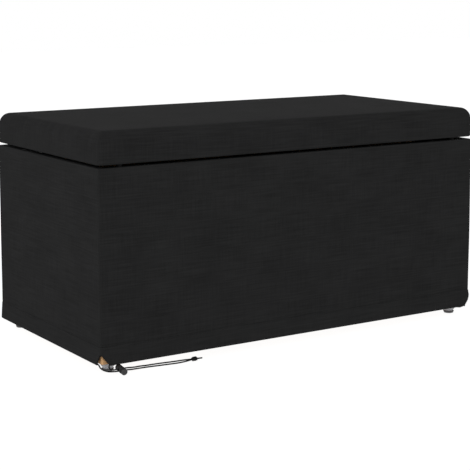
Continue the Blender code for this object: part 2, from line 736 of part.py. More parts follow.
def hinges(back_panel, cover, lid_board, lid_cover):
    """Two butt hinges in the gap, each with two leaves, a pin and four screws."""
    half, joint = HINGE_LENGTH / 2, HINGE_LENGTH / 6
    inset = 0.0002
    outer_spans = ((-half + inset, -joint - CLEAR - inset), (joint + CLEAR + inset, half - inset))
    middle_span = (-joint + CLEAR, joint - CLEAR)
    past_end = half + 0.001
    for side_name, side in (("left", -1), ("right", 1)):
        x = side * HINGE_X
        base_low = BOX_TOP + CLEAR
        lid_low = LID_BOTTOM - CLEAR - HINGE_LEAF
        base_leaf = hinge_leaf(f"hinge_base_leaf_{side_name}", x, base_low, outer_spans,
                               ((-joint - CLEAR, joint + CLEAR),))
        lid_leaf = hinge_leaf(f"hinge_lid_leaf_{side_name}", x, lid_low,
                              ((middle_span[0] + inset, middle_span[1] - inset),),
                              ((-past_end, middle_span[0]), (middle_span[1], past_end)))
        rod(f"hinge_pin_{side_name}", (x - half - PIN_PROUD, HINGE_Y, HINGE_Z),
            (x + half + PIN_PROUD, HINGE_Y, HINGE_Z), PIN_RADIUS, ZINC, 20)
        for end_name, end in (("outer", side), ("inner", -side)):
            wood_screw(f"hinge_base_screw_{side_name}_{end_name}",
                       (x + end * BASE_SCREW_REACH, HINGE_SCREW_Y, base_low + HINGE_LEAF), False,
                       (base_leaf, cover, back_panel))
            wood_screw(f"hinge_lid_screw_{side_name}_{end_name}",
                       (x + end * LID_SCREW_REACH, HINGE_SCREW_Y, lid_low), True,
                       (lid_leaf, lid_cover, lid_board))


# ---------------------------------------------------------------- lid stays

def stay_point(angle, reach=STAY_REACH):
    """A point in front of the hinge axis and below it by an angle, as (y, z)."""
    return HINGE_Y - reach * math.cos(angle), HINGE_Z - reach * math.sin(angle)


def stays(panels, lid_board, lid_cover):
    """A stud on each side panel, a bracket under the lid and a slotted arm between."""
    pivot_y, pivot_z = stay_point(PIVOT_ANGLE)
    stud_y, stud_z = stay_point(STUD_ANGLE)
    spread = STUD_ANGLE - PIVOT_ANGLE
    near = 2 * STAY_REACH * math.sin(spread / 2)
    far = 2 * STAY_REACH * math.sin((spread + LID_OPEN) / 2)
    arm_far = ARM_OFFSET + ARM_THICK
    head_start = arm_far + CLEAR
    head_end = head_start + STAY_HEAD_HEIGHT
    stud = [(0, head_end), (STAY_HEAD, head_end), (STAY_HEAD, head_start),
            (STAY_PIN, head_start), (STAY_PIN, ARM_OFFSET - CLEAR),
            (STAY_HEAD, ARM_OFFSET - CLEAR), (STAY_HEAD, STUD_FLANGE_HEIGHT),
            (STUD_FLANGE, STUD_FLANGE_HEIGHT), (STUD_FLANGE, CLEAR),
            (STUD_SHANK, CLEAR), (STUD_SHANK, -STUD_DEPTH), (0, -STUD_DEPTH)]
    slot_radius = STAY_PIN + CLEAR
    outline = stadium(0, far + 0.006, ARM_WIDTH / 2, 8)
    slot = stadium(near, far, slot_radius)
    hole = arc((0, 0), slot_radius, 0, 330, 11)
    along = Vector((0, stud_y - pivot_y, stud_z - pivot_z)).normalized()
    for name, side in (("left", -1), ("right", 1)):
        panel_x = side * INNER_X
        inward = -side
        turn = (0, inward * math.pi / 2, 0)
        turned(f"stay_stud_{name}", stud, ZINC, 20, (panel_x, stud_y, stud_z), turn)
        hole_end = (panel_x - inward * (STUD_DEPTH + 0.001), stud_y, stud_z)
        hole_start = (panel_x + inward * 0.001, stud_y, stud_z)
        cut(panels[name], rod(f"stud_hole_{name}", hole_end, hole_start,
                              STUD_SHANK + CLEAR, RUBBER))
        arm = flat_outline(f"stay_arm_{name}", [outline, slot, hole], ARM_THICK, ZINC)
        middle = panel_x + inward * (ARM_OFFSET + ARM_THICK / 2)
        arm.matrix_world = Matrix((
            (0, 0, 1, middle),
            (along.y, -along.z, 0, pivot_y),
            (along.z, along.y, 0, pivot_z),
            (0, 0, 0, 1)))
        stay_bracket(name, panel_x, inward, head_start, lid_board, lid_cover)


def stay_bracket(name, panel_x, inward, tab_start, lid_board, lid_cover):
    """An angle bracket under the lid with the pivot pin of one stay arm."""
    pivot_y, pivot_z = stay_point(PIVOT_ANGLE)
    top = LID_BOTTOM - CLEAR
    flange_low = top - BRACKET_PLATE
    near = panel_x + inward * tab_start
    tab_x = sorted((near, near + inward * BRACKET_TAB))
    plate_x = sorted((near, near + inward * BRACKET_WIDTH))
    bracket = box(f"stay_bracket_{name}", (plate_x[0], pivot_y - BRACKET_HALF_LENGTH, flange_low),
                  (plate_x[1], pivot_y + BRACKET_HALF_LENGTH, top), ZINC)
    join(bracket, box(f"bracket_tab_{name}", (tab_x[0], pivot_y - BRACKET_BOSS, pivot_z),
                      (tab_x[1], pivot_y + BRACKET_BOSS, flange_low + 0.0005), RUBBER))
    join(bracket, rod(f"bracket_boss_{name}", (tab_x[0], pivot_y, pivot_z),
                      (tab_x[1], pivot_y, pivot_z), BRACKET_BOSS, RUBBER, 28))
    pin_inner = near + inward * BRACKET_TAB / 2
    head_inner = panel_x + inward * (ARM_OFFSET - CLEAR)
    join(bracket, rod(f"bracket_pin_{name}", (pin_inner, pivot_y, pivot_z),
                      (head_inner - inward * 0.001, pivot_y, pivot_z), STAY_PIN, RUBBER, 20))
    join(bracket, rod(f"bracket_head_{name}", (head_inner, pivot_y, pivot_z),
                      (head_inner - inward * STAY_HEAD_HEIGHT, pivot_y, pivot_z),
                      STAY_HEAD, RUBBER, 20))
    for end_name, end in (("front", -1), ("rear", 1)):
        head = (near + inward * BRACKET_SCREW, pivot_y + end * BRACKET_SCREW, flange_low)
        wood_screw(f"stay_screw_{name}_{end_name}", head, True,
                   (bracket, lid_cover, lid_board))


# ---------------------------------------------------------------- the bench

PANELS = wooden_box()
glides(PANELS["bottom"])
COVER = base_cover()
side_wadding()
hem_drawcord()
cord_ends()
knot()
cord_lock()
LID_BOARD, LID_COVER = lid()
hinges(PANELS["back"], COVER, LID_BOARD, LID_COVER)
stays(PANELS, LID_BOARD, LID_COVER)
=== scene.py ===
"""Looks of the storage bench: black cloth over a wooden box, a cushioned lid and a cord lock.

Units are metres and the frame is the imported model's. Positions come from the boxes of
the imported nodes, and each section makes one part of the bench.
"""
import math

import bmesh
import bpy
from mathutils import Matrix, Vector, noise


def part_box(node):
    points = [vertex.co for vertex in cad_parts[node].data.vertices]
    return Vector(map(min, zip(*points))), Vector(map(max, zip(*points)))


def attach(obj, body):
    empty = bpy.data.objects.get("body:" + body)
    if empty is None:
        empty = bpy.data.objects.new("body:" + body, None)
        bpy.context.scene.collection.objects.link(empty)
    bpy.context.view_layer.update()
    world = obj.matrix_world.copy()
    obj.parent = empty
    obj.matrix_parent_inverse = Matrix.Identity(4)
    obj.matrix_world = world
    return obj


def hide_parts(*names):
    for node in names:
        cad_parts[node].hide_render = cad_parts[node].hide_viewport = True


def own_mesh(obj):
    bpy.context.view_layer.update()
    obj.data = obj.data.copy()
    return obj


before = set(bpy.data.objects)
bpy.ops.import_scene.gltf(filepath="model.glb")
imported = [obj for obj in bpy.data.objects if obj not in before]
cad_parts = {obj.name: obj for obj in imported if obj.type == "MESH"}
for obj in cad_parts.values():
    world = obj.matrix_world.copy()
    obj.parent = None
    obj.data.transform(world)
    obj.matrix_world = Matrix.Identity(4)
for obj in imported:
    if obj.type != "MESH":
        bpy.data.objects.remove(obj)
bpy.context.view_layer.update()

MM = 0.001

# Driving positions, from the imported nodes
(_, _, HEM_BOTTOM), (HEM_X, HEM_Y, BOX_TOP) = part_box("base_cover")
(_, _, LID_BOTTOM), (LID_X, LID_Y, LID_TOP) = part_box("lid_cover")
HEM_TOP = HEM_BOTTOM + 40 * MM
WOOD_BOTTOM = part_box("front_panel")[0].z

# Nodes that come in pairs, and those at the four corners
SIDE_NAMES = ("left", "right")
CORNER_NAMES = ("front_left", "front_right", "rear_left", "rear_right")

# Sides of a rectangle, anticlockwise from above: direction along each and direction out of it
SIDES = (((1, 0), (0, -1)), ((0, 1), (1, 0)), ((-1, 0), (0, 1)), ((0, -1), (-1, 0)))
FRONT, RIGHT, BACK, LEFT = range(4)


# ---------------- materials

def new_material(name, colour, roughness, metallic=0.0, specular=0.5):
    material = bpy.data.materials.new(name)
    material.use_nodes = True
    shader = material.node_tree.nodes["Principled BSDF"]
    shader.inputs["Base Color"].default_value = (*colour, 1.0)
    shader.inputs["Roughness"].default_value = roughness
    shader.inputs["Metallic"].default_value = metallic
    shader.inputs["Specular IOR Level"].default_value = specular
    return material, material.node_tree, shader


def node(tree, kind, inputs=None, **settings):
    """Adds a node, with its inputs as numbers or as other nodes' sockets."""
    made = tree.nodes.new("ShaderNode" + kind)
    for key, value in settings.items():
        setattr(made, key, value)
    for key, value in (inputs or {}).items():
        if isinstance(value, bpy.types.NodeSocket):
            tree.links.new(value, made.inputs[key])
        else:
            made.inputs[key].default_value = value
    return made


def maths(tree, operation, first, second=0.0):
    return node(tree, "Math", {0: first, 1: second}, operation=operation).outputs[0]


def weighted(tree, *parts):
    """The sum of some values, each times its weight."""
    total = 0.0
    for value, weight in parts:
        total = maths(tree, "ADD", maths(tree, "MULTIPLY", value, weight), total)
    return total


def stretched_noise(tree, coords, scale, detail=3.0, roughness=0.55):
    """Noise in coordinates that are scaled differently along each axis."""
    placed = node(tree, "Mapping", {"Vector": coords, "Scale": scale})
    return node(tree, "TexNoise", {"Vector": placed.outputs[0], "Scale": 1.0, "Detail": detail,
                                   "Roughness": roughness}).outputs["Fac"]


def ramp(tree, value, stops):
    """A colour ramp from (position, colour) stops."""
    made = node(tree, "ValToRGB", {"Fac": value})
    points = made.color_ramp.elements
    while len(points) < len(stops):
        points.new(1.0)
    for point, (position, colour) in zip(points, stops):
        point.position = position
        point.color = (*colour, 1.0)
    return made.outputs["Color"]


def shade(colour, factor):
    return tuple(channel * factor for channel in colour)


def surface(tree, shader, tone, height, strength, distance):
    """Gives a shader its colour and its bump."""
    tree.links.new(tone, shader.inputs["Base Color"])
    bump = node(tree, "Bump", {"Height": height, "Strength": strength, "Distance": distance})
    tree.links.new(bump.outputs[0], shader.inputs["Normal"])


def vary_gloss(tree, shader, value, least, most):
    """Spreads a noise's middle values over a range of roughness."""
    spread = node(tree, "MapRange", {0: value, 1: 0.3, 2: 0.7, 3: least, 4: most})
    tree.links.new(spread.outputs[0], shader.inputs["Roughness"])


def woven_cloth(name, colour, thread=0.9 * MM, contrast=0.26):
    """Plain weave with slubs: threads run along U and V of a map in metres."""
    material, tree, shader = new_material(name, colour, 0.93, specular=0.03)
    coords = node(tree, "TexCoord").outputs["UV"]
    split = node(tree, "SeparateXYZ", {0: coords})
    turn = math.pi / thread
    across = maths(tree, "SINE", maths(tree, "MULTIPLY", split.outputs[0], turn))
    along = maths(tree, "SINE", maths(tree, "MULTIPLY", split.outputs[1], turn))
    weave = maths(tree, "MULTIPLY", across, along)
    warp = stretched_noise(tree, coords, (420.0, 16.0, 1.0), 4.0, 0.6)
    weft = stretched_noise(tree, coords, (11.0, 340.0, 1.0), 4.0, 0.6)
    blotch = stretched_noise(tree, coords, (9.0, 13.0, 1.0), 2.0)
    slubs = weighted(tree, (warp, 0.38), (weft, 0.62))
    tone = weighted(tree, (slubs, 0.8), (blotch, 0.2))
    mottled = ramp(tree, tone, [(0.38, shade(colour, 1 - contrast)),
                                (0.62, shade(colour, 1 + contrast))])
    height = weighted(tree, (weave, 0.35), (slubs, 1.0))
    surface(tree, shader, mottled, height, 0.35, 0.35 * MM)
    return material


def braided_cord(name, colour):
    """Diagonal strands both ways. U runs round the cord and V along it, in cord widths."""
    material, tree, shader = new_material(name, colour, 0.85, specular=0.08)
    split = node(tree, "SeparateXYZ", {0: node(tree, "TexCoord").outputs["UV"]})
    around = maths(tree, "MULTIPLY", split.outputs[0], 4 * math.tau)
    along = maths(tree, "MULTIPLY", split.outputs[1], math.tau * 1.1)
    one = maths(tree, "SINE", maths(tree, "ADD", around, along))
    other = maths(tree, "SINE", maths(tree, "SUBTRACT", around, along))
    strands = maths(tree, "MULTIPLY", one, other)
    # Painted shade and painted highlight: the colour is darker in the hollows between the strands and
    # lighter on their crests, following the bump.
    tone = ramp(tree, maths(tree, "ADD", maths(tree, "MULTIPLY", strands, 0.5), 0.5),
                [(0.1, shade(colour, 0.55)), (0.9, shade(colour, 1.5))])
    surface(tree, shader, tone, strands, 0.5, 0.2 * MM)
    return material


def plywood(name, thickness_axis):
    """Plies across the thickness axis, with grain streaks along the sheet."""
    pale, dark = (0.50, 0.30, 0.145), (0.27, 0.14, 0.055)
    material, tree, shader = new_material(name, pale, 0.62, specular=0.25)
    coords = node(tree, "TexCoord").outputs["Object"]
    split = node(tree, "SeparateXYZ", {0: coords})
    plies = maths(tree, "MULTIPLY", split.outputs[thickness_axis], 1 / (2.6 * MM))
    layer = maths(tree, "PINGPONG", plies, 1.0)
    scale = [14.0, 14.0, 90.0]
    scale[thickness_axis] = 420.0
    if thickness_axis == 2:
        scale[1] = 110.0
    grain = stretched_noise(tree, coords, scale, 5.0, 0.6)
    fine = stretched_noise(tree, coords, [value * 6 for value in scale], 2.0)
    tone = weighted(tree, (grain, 0.62), (fine, 0.18), (layer, 0.20))
    wood = ramp(tree, tone, [(0.30, dark), (0.62, pale), (0.85, shade(pale, 1.15))])
    surface(tree, shader, wood, tone, 0.3, 0.4 * MM)
    return material


def sawn_pine(name):
    """Upright grain with growth rings, on a sawn face."""
    pale, dark = (0.66, 0.47, 0.27), (0.44, 0.26, 0.12)
    material, tree, shader = new_material(name, pale, 0.68, specular=0.2)
    coords = node(tree, "TexCoord").outputs["Object"]
    placed = node(tree, "Mapping", {"Vector": coords, "Scale": (1.0, 1.0, 0.05)})
    rings = node(tree, "TexWave", {"Vector": placed.outputs[0], "Scale": 45.0, "Distortion": 3.0,
                                   "Detail": 2.0}, wave_type="RINGS", rings_direction="Z")
    grain = stretched_noise(tree, coords, (700.0, 700.0, 25.0), 3.0)
    tone = weighted(tree, (rings.outputs["Fac"], 0.45), (grain, 0.55))
    surface(tree, shader, ramp(tree, tone, [(0.2, pale), (0.8, dark)]), grain, 0.35, 0.3 * MM)
    return material


def plastic(name, colour, roughness, specular=0.5):
    """Moulded plastic with a fine spark-eroded grain and faint scuffs."""
    material, tree, shader = new_material(name, colour, roughness, specular=specular)
    coords = node(tree, "TexCoord").outputs["Object"]
    grain = stretched_noise(tree, coords, (900.0,) * 3, 2.0)
    scuff = stretched_noise(tree, coords, (160.0, 160.0, 60.0), 4.0)
    tone = ramp(tree, scuff, [(0.35, shade(colour, 0.9)), (0.70, shade(colour, 1.12))])
    vary_gloss(tree, shader, scuff, roughness - 0.06, roughness + 0.10)
    surface(tree, shader, tone, grain, 0.15, 0.05 * MM)
    return material


def metal(name, colour, roughness, streak=(60.0, 60.0, 900.0)):
    """Plated steel with drawn streaks and a slightly cloudy finish."""
    material, tree, shader = new_material(name, colour, roughness, metallic=1.0)
    coords = node(tree, "TexCoord").outputs["Object"]
    drawn = stretched_noise(tree, coords, streak, 3.0)
    cloud = stretched_noise(tree, coords, (120.0,) * 3, 3.0)
    tone = ramp(tree, cloud, [(0.3, shade(colour, 0.82)), (0.7, shade(colour, 1.06))])
    vary_gloss(tree, shader, drawn, roughness - 0.08, roughness + 0.12)
    surface(tree, shader, tone, drawn, 0.08, 0.05 * MM)
    return material


def cellular(name, colour, cell, roughness=0.95, depth=0.5 * MM):
    """Open cells or matted fibres, for foam, wadding and rubber."""
    material, tree, shader = new_material(name, colour, roughness, specular=0.1)
    coords = node(tree, "TexCoord").outputs["Object"]
    cells = node(tree, "TexVoronoi", {"Vector": coords, "Scale": 1 / cell}).outputs["Distance"]
    # Painted shade: the colour is darker in the hollows of the cells, where the bump is lowest.
    tone = ramp(tree, cells, [(0.0, shade(colour, 0.72)), (0.6, colour)])
    surface(tree, shader, tone, cells, 0.5, depth)
    return material


BOX_CLOTH = woven_cloth("box_cloth", (0.0129, 0.0130, 0.0131))
LID_CLOTH = woven_cloth("lid_cloth", (0.0127, 0.0128, 0.0129))
UNDER_CLOTH = woven_cloth("under_cloth", (0.022, 0.022, 0.023), 0.6 * MM, 0.25)
THREAD = braided_cord("sewing_thread", (0.016, 0.016, 0.017))
CORD = braided_cord("cord_braid", (0.008, 0.008, 0.008))
PLY_X, PLY_Y, PLY_Z = (plywood(f"ply_{axis}", index) for index, axis in enumerate("xyz"))
PINE = sawn_pine("pine")
GLIDE_GREY = plastic("glide_grey", (0.25, 0.25, 0.26), 0.20)
GLIDE_DARK = plastic("glide_sole", (0.038, 0.038, 0.040), 0.5)
LOCK_DARK = plastic("lock_moulding", (0.014, 0.014, 0.0145), 0.5, specular=0.25)
BUTTON_DARK = plastic("button_moulding", (0.024, 0.024, 0.025), 0.45, specular=0.3)
ZINC = metal("zinc", (0.66, 0.66, 0.64), 0.34)
SCREW = metal("screw", (0.70, 0.60, 0.38), 0.30)
SPRING = metal("spring", (0.62, 0.62, 0.62), 0.25, (900.0, 60.0, 900.0))
STAPLE = metal("staple", (0.70, 0.70, 0.70), 0.28)
FOAM = cellular("foam", (0.80, 0.74, 0.56), 1.1 * MM)
FLEECE = cellular("fleece", (0.82, 0.82, 0.80), 2.6 * MM)
RUBBER = cellular("rubber", (0.007, 0.007, 0.007), 0.7 * MM, 0.9, 0.05 * MM)


# ---------------- mesh helpers

def add_piece(name, points, faces, maps, material, body, replaced=()):
    """A mesh object that rides on a body. The maps give (u, v) for each face corner."""
    mesh = bpy.data.meshes.new(name)
    mesh.from_pydata(points, [], faces)
    layer = mesh.uv_layers.new(name="cloth")
    corner = 0
    for face_map in maps:
        for pair in face_map:
            layer.data[corner].uv = pair
            corner += 1
    mesh.shade_smooth()
    mesh.materials.append(material)
    item = bpy.data.objects.new(name, mesh)
    bpy.context.scene.collection.objects.link(item)
    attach(item, body)
    if replaced:
        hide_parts(*replaced)
    return item


def waves(x, y, z):
    """Smooth noise in space, from about -1 to 1."""
    return noise.noise(Vector((x, y, z)))


def thicken(item, depth):
    """Gives a skin its thickness, inwards from its outer face."""
    solid = item.modifiers.new("thickness", "SOLIDIFY")
    solid.thickness = depth
    solid.offset = -1.0


def graded(half_count, tightness):
    """Shares of a side from 0 up to 1, closer together near both of its ends."""
    whole = math.exp(tightness) - 1
    first = [(math.exp(tightness * i / half_count) - 1) / whole / 2 for i in range(half_count)]
    return first + [0.5] + [1 - share for share in reversed(first[1:])]


def ring_columns(long_count, short_count, tightness=2.5):
    """Columns round a rectangle, as (side, share of that side)."""
    columns = []
    for side in range(4):
        count = long_count if side in (FRONT, BACK) else short_count
        columns += [(side, share) for share in graded(count, tightness)]
    return columns


def ring_point(column, half_x, half_y, radius):
    """Position and outward direction of a column on a rounded rectangle."""
    side, share = column
    along, outward = (Vector(direction) for direction in SIDES[side])
    reach, depth = (half_x, half_y) if side in (FRONT, BACK) else (half_y, half_x)
    bend = radius * math.pi / 4
    straight = 2 * (reach - radius)
    travel = share * (straight + 2 * bend)
    if travel < bend:
        angle = -(bend - travel) / radius
        middle = -(reach - radius)
    elif travel > bend + straight:
        angle = (travel - bend - straight) / radius
        middle = reach - radius
    else:
        angle = 0.0
        middle = travel - bend - (reach - radius)
    normal = along * math.sin(angle) + outward * math.cos(angle)
    place = along * middle + outward * (depth - radius) + normal * radius
    return place, normal


def quads(rows, columns):
    """Faces of a closed band of rows and columns, facing outwards."""
    faces = []
    for row in range(rows - 1):
        for column in range(columns):
            after = (column + 1) % columns
            low, high = row * columns, (row + 1) * columns
            faces.append((low + column, low + after, high + after, high + column))
    return faces


def lengths_along(route):
    """Distance along a route or profile to each of its points."""
    travelled = [0.0]
    for before, after in zip(route, route[1:]):
        travelled.append(travelled[-1] + math.dist(before, after))
    return travelled


def bow(centre, radius, start, end, steps):
    """Points on an arc, as (outset, height), with angles in degrees."""
    points = []
    for step in range(steps + 1):
        angle = math.radians(start + (end - start) * step / steps)
        points.append((centre[0] + radius * math.cos(angle), centre[1] + radius * math.sin(angle)))
    return points


def between(start, end, steps):
    """Points from one to another, without the first."""
    return [tuple(a + (b - a) * step / steps for a, b in zip(start, end))
            for step in range(1, steps + 1)]


def tube_parts(route, radius, sides, offset):
    """Points, faces and maps of a round tube with closed ends."""
    route = [Vector(point) for point in route]
    runs = [(after - before).normalized() for before, after in zip(route, route[1:])]
    middle_tangents = [(a + b).normalized() for a, b in zip(runs, runs[1:])]
    tangents = [runs[0], *middle_tangents, runs[-1]]
    side = tangents[0].orthogonal().normalized()
    levels = [length / (2 * radius) for length in lengths_along(route)]
    points, faces, maps = [], [], []
    for centre, tangent in zip(route, tangents):
        side = (side - tangent * side.dot(tangent)).normalized()
        other = tangent.cross(side)
        for step in range(sides):
            angle = math.tau * step / sides
            points.append(centre + radius * (side * math.cos(angle) + other * math.sin(angle)))
    for ring in range(len(route) - 1):
        for step in range(sides):
            after = (step + 1) % sides
            low, high = offset + ring * sides, offset + (ring + 1) * sides
            faces.append((low + step, low + after, high + after, high + step))
            maps.append([(step / sides, levels[ring]), ((step + 1) / sides, levels[ring]),
                         ((step + 1) / sides, levels[ring + 1]), (step / sides, levels[ring + 1])])
    for ring, turn in ((0, -1), (len(route) - 1, 1)):
        loop = list(range(sides))[::turn]
        faces.append(tuple(offset + ring * sides + step for step in loop))
        maps.append([(step / sides, levels[ring]) for step in loop])
    return points, faces, maps


def tubes(name, routes, radius, sides, material, body, replaced=()):
    """One piece made of one or more round tubes."""
    points, faces, maps = [], [], []
    for route in routes:
        more_points, more_faces, more_maps = tube_parts(route, radius, sides, len(points))
        points += more_points
        faces += more_faces
        maps += more_maps
    return add_piece(name, points, faces, maps, material, body, replaced)


def smooth_route(points, spacing):
    """A smooth curve through the points, as points about a spacing apart."""
    points = [Vector(point) for point in points]
    ends = [2 * points[0] - points[1], *points, 2 * points[-1] - points[-2]]
    route = []
    for before, start, end, after in zip(ends, ends[1:], ends[2:], ends[3:]):
        count = max(1, round((end - start).length / spacing))
        for step in range(count):
            t = step / count
            route.append(0.5 * (2 * start + (end - before) * t
                                + (2 * before - 5 * start + 4 * end - after) * t ** 2
                                + (3 * start - before - 3 * end + after) * t ** 3))
    route.append(points[-1])
    return route


def turned_piece(name, profile, sides, centre, axis, material, body, replaced=()):
    """A turned shape. The profile is (radius, distance along the axis), end to end."""
    axis = Vector(axis)
    side = axis.orthogonal().normalized()
    other = axis.cross(side)
    points, rings = [], []
    for radius, height in profile:
        middle = Vector(centre) + axis * height
        if radius < 1e-6:
            rings.append([len(points)])
            points.append(middle)
            continue
        rings.append(list(range(len(points), len(points) + sides)))
        for step in range(sides):
            angle = math.tau * step / sides
            points.append(middle + radius * (side * math.cos(angle) + other * math.sin(angle)))
    faces, maps = [], []
    for lower, upper in zip(rings, rings[1:]):
        for step in range(sides):
            after = (step + 1) % sides
            loop = [lower[step % len(lower)], lower[after % len(lower)],
                    upper[after % len(upper)], upper[step % len(upper)]]
            loop = list(dict.fromkeys(loop))
            if len(loop) > 2:
                faces.append(tuple(loop))
                maps.append([(step / sides, 0.0)] * len(loop))
    return add_piece(name, points, faces, maps, material, body, replaced)


# ---------------- cover of the box

# Distances inwards are from the hem's outer face, which is proud of the cloth above it
COVER_SETBACK = 2.5 * MM
COVER_CORNER = 6 * MM
SKIN = 0.7 * MM
HEM_FOLD = 2.4 * MM
HEM_INSIDE = 5.8 * MM
HEM_INSIDE_HEIGHT = 32 * MM
HEM_UPRIGHT = 7 * MM
SEAM_DEPTH = 0.7 * MM
RIM_ROUND = 1.8 * MM
RIM_INNER_ROUND = 1.2 * MM
RIM_LIP = 24 * MM
RIM_INNER = HEM_X - 0.4768

# Openings at the front corners: widths along X and Y, height, and how hollow each edge is
OPENING_LEFT = (24.5 * MM, 18.0 * MM, 29 * MM, 1.15, 0.75)
OPENING_RIGHT = (22.0 * MM, 26.0 * MM, 28 * MM, 2.0, 1.0)

# How far the hem's inner layer is drawn out to the outer one, as a share, where the hem has risen
OPENING_THINNING = 0.65
OPENING_THIN_RISE = 5 * MM

# The hem dips a little beside the right opening: depth, place along the hem, and half width
OPENING_DIP = (1.8 * MM, 29 * MM, 8 * MM)

# Faint creases low on the left face: start and end as (y, z), then depth and width
CREASES = (
    ((-0.235, 0.075), (-0.060, 0.200), 0.5 * MM, 9 * MM),
    ((-0.215, 0.060), (0.050, 0.150), 0.4 * MM, 11 * MM),
    ((0.225, 0.070), (0.090, 0.190), 0.4 * MM, 9 * MM),
)


def opening_rise(column, place):
    """How far the hem's edge is above its usual level, at the two front corners."""
    side = column[0]
    if side == BACK:
        return 0.0
    opening = OPENING_LEFT if place.x < 0 else OPENING_RIGHT
    width_x, width_y, height, hollow_x, hollow_y = opening
    if side == FRONT:
        distance, width, hollow = HEM_X - abs(place.x), width_x, hollow_x
    else:
        distance, width, hollow = place.y + HEM_Y, width_y, hollow_y
    share = max(distance, 0.0) / width
    rise = height * max(0.0, 1 - share) ** hollow
    if side == FRONT and place.x > 0:
        depth, middle, half_width = OPENING_DIP
        rise -= depth * math.exp(-((distance - middle) / half_width) ** 2)
    return rise


def crease_relief(y, z):
    """Height of the diagonal creases at a point of the left face."""
    relief = 0.0
    here = Vector((y, z))
    for start, end, depth, width in CREASES:
        start, end = Vector(start), Vector(end)
        run = end - start
        share = (here - start).dot(run) / run.length_squared
        if 0 < share < 1:
            away = (here - start - run * share).length
            relief += depth * math.sin(math.pi * share) * math.exp(-(away / width) ** 2)
    return relief


def cloth_relief(place, z):
    """Slow unevenness of the stretched cloth, fading out at its edges."""
    fade = min(1.0, (BOX_TOP - z) / (60 * MM), max(0.0, (z - HEM_TOP) / (30 * MM)))
    if fade <= 0:
        return 0.0
    relief = 0.9 * MM * waves(place.x * 5.0, place.y * 5.0, z * 6.0)
    relief += 0.25 * MM * waves(place.x * 22.0, place.y * 22.0, z * 9.0 + 7.0)
    if place.x < -HEM_X + 10 * MM:
        relief += crease_relief(place.y, z)
    return relief * fade


def cover_profile():
    """The box cover from the inside of its hem, over the rim, to its inner lip."""
    face = -COVER_SETBACK
    profile = [(-HEM_INSIDE, HEM_BOTTOM + HEM_INSIDE_HEIGHT)]
    profile += between(profile[-1], (-2 * HEM_FOLD, HEM_BOTTOM + HEM_FOLD), 8)
    profile += bow((-HEM_FOLD, HEM_BOTTOM + HEM_FOLD), HEM_FOLD, 180, 360, 8)[1:]
    profile += between(profile[-1], (0.0, HEM_BOTTOM + HEM_UPRIGHT), 2)
    profile += between(profile[-1], (face + 0.6 * MM, HEM_TOP - 1.6 * MM), 8)
    seam = face - SEAM_DEPTH
    profile += [(face + 0.2 * MM, HEM_TOP - 0.8 * MM), (seam, HEM_TOP),
                (seam, HEM_TOP + 0.3 * MM), (face, HEM_TOP + 1.4 * MM)]
    profile += between(profile[-1], (face, BOX_TOP - RIM_ROUND), 40)
    profile += bow((face - RIM_ROUND, BOX_TOP - RIM_ROUND), RIM_ROUND, 0, 90, 5)[1:]
    inner, round_out = -RIM_INNER + RIM_INNER_ROUND, RIM_INNER_ROUND
    profile += between(profile[-1], (inner, BOX_TOP), 4)
    profile += bow((inner, BOX_TOP - round_out), -round_out, -90, 0, 4)[1:]
    profile += between(profile[-1], (-RIM_INNER, BOX_TOP - RIM_LIP), 5)
    return profile


def box_cover():
    """The slipcover of the box, with its hem and its openings at the two front corners."""
    columns = ring_columns(76, 50)
    profile = cover_profile()
    travelled = lengths_along(profile)
    points = []
    for outset, z in profile:
        radius = max(COVER_CORNER + outset, 1.0 * MM)
        for column in columns:
            place, normal = ring_point(column, HEM_X + outset, HEM_Y + outset, radius)
            level = z
            if z < HEM_TOP:
                rise = opening_rise(column, place)
                level = z + rise * (HEM_TOP - z) / (HEM_TOP - HEM_BOTTOM)
                if outset < -COVER_SETBACK:
                    risen = min(1.0, max(0.0, rise / OPENING_THIN_RISE))
                    place = place - normal * outset * OPENING_THINNING * risen
            place = place + normal * cloth_relief(place, z)
            points.append((*place, level))
    faces = quads(len(profile), len(columns))
    outline = [ring_point(column, HEM_X, HEM_Y, COVER_CORNER)[0] for column in columns]
    around = lengths_along(outline + outline[:1])
    maps = []
    for row in range(len(profile) - 1):
        low, high = travelled[row], travelled[row + 1]
        for column in range(len(columns)):
            start, end = around[column], around[column + 1]
            maps.append([(start, low), (end, low), (end, high), (start, high)])
    cover = add_piece("box_slipcover", points, faces, maps, BOX_CLOTH, "base",
                      ["base_cover"])
    thicken(cover, SKIN)


# Stitches: distance apart, drop below the seam, and distance out from the cloth above it
STITCH_PITCH = 4.2 * MM
STITCH_DROP = 2.6 * MM
STITCH_PROUD = 0.75 * MM
STITCH_RADIUS = 0.22 * MM

# One stitch, in millimetres: along the side, and out of the cloth
STITCH_SHAPE = ((-1.4, -0.45), (-0.9, 0.0), (0.9, 0.0), (1.4, -0.45))


def hem_stitching():
    """A row of stitches round the box, just under the hem's seam."""
    points, faces, maps = [], [], []
    outset = -COVER_SETBACK + STITCH_PROUD
    level = HEM_TOP - STITCH_DROP
    for side in range(4):
        reach = HEM_X if side in (FRONT, BACK) else HEM_Y
        count = round(2 * (reach - COVER_CORNER) / STITCH_PITCH)
        for index in range(count):
            share = (index + 0.5) / count
            middle, normal = ring_point((side, share), HEM_X + outset, HEM_Y + outset, COVER_CORNER)
            along = Vector(SIDES[side][0])
            ends = []
            for way, depth in STITCH_SHAPE:
                spot = middle + along * way * MM + normal * depth * MM
                ends.append((*spot, level))
            more = tube_parts(ends, STITCH_RADIUS, 5, len(points))
            points += more[0]
            faces += more[1]
            maps += more[2]
    add_piece("hem_stitches", points, faces, maps, THREAD, "base")


# ---------------- lid

LID_CORNER = 12 * MM
LID_TOP_ROUND = 22 * MM
LID_TOP_FALL = 28 * MM
LID_BOTTOM_ROUND = 4 * MM
LID_LIP = 42 * MM
LID_CROWN = 1.6 * MM
LID_SWELL = 0.9 * MM

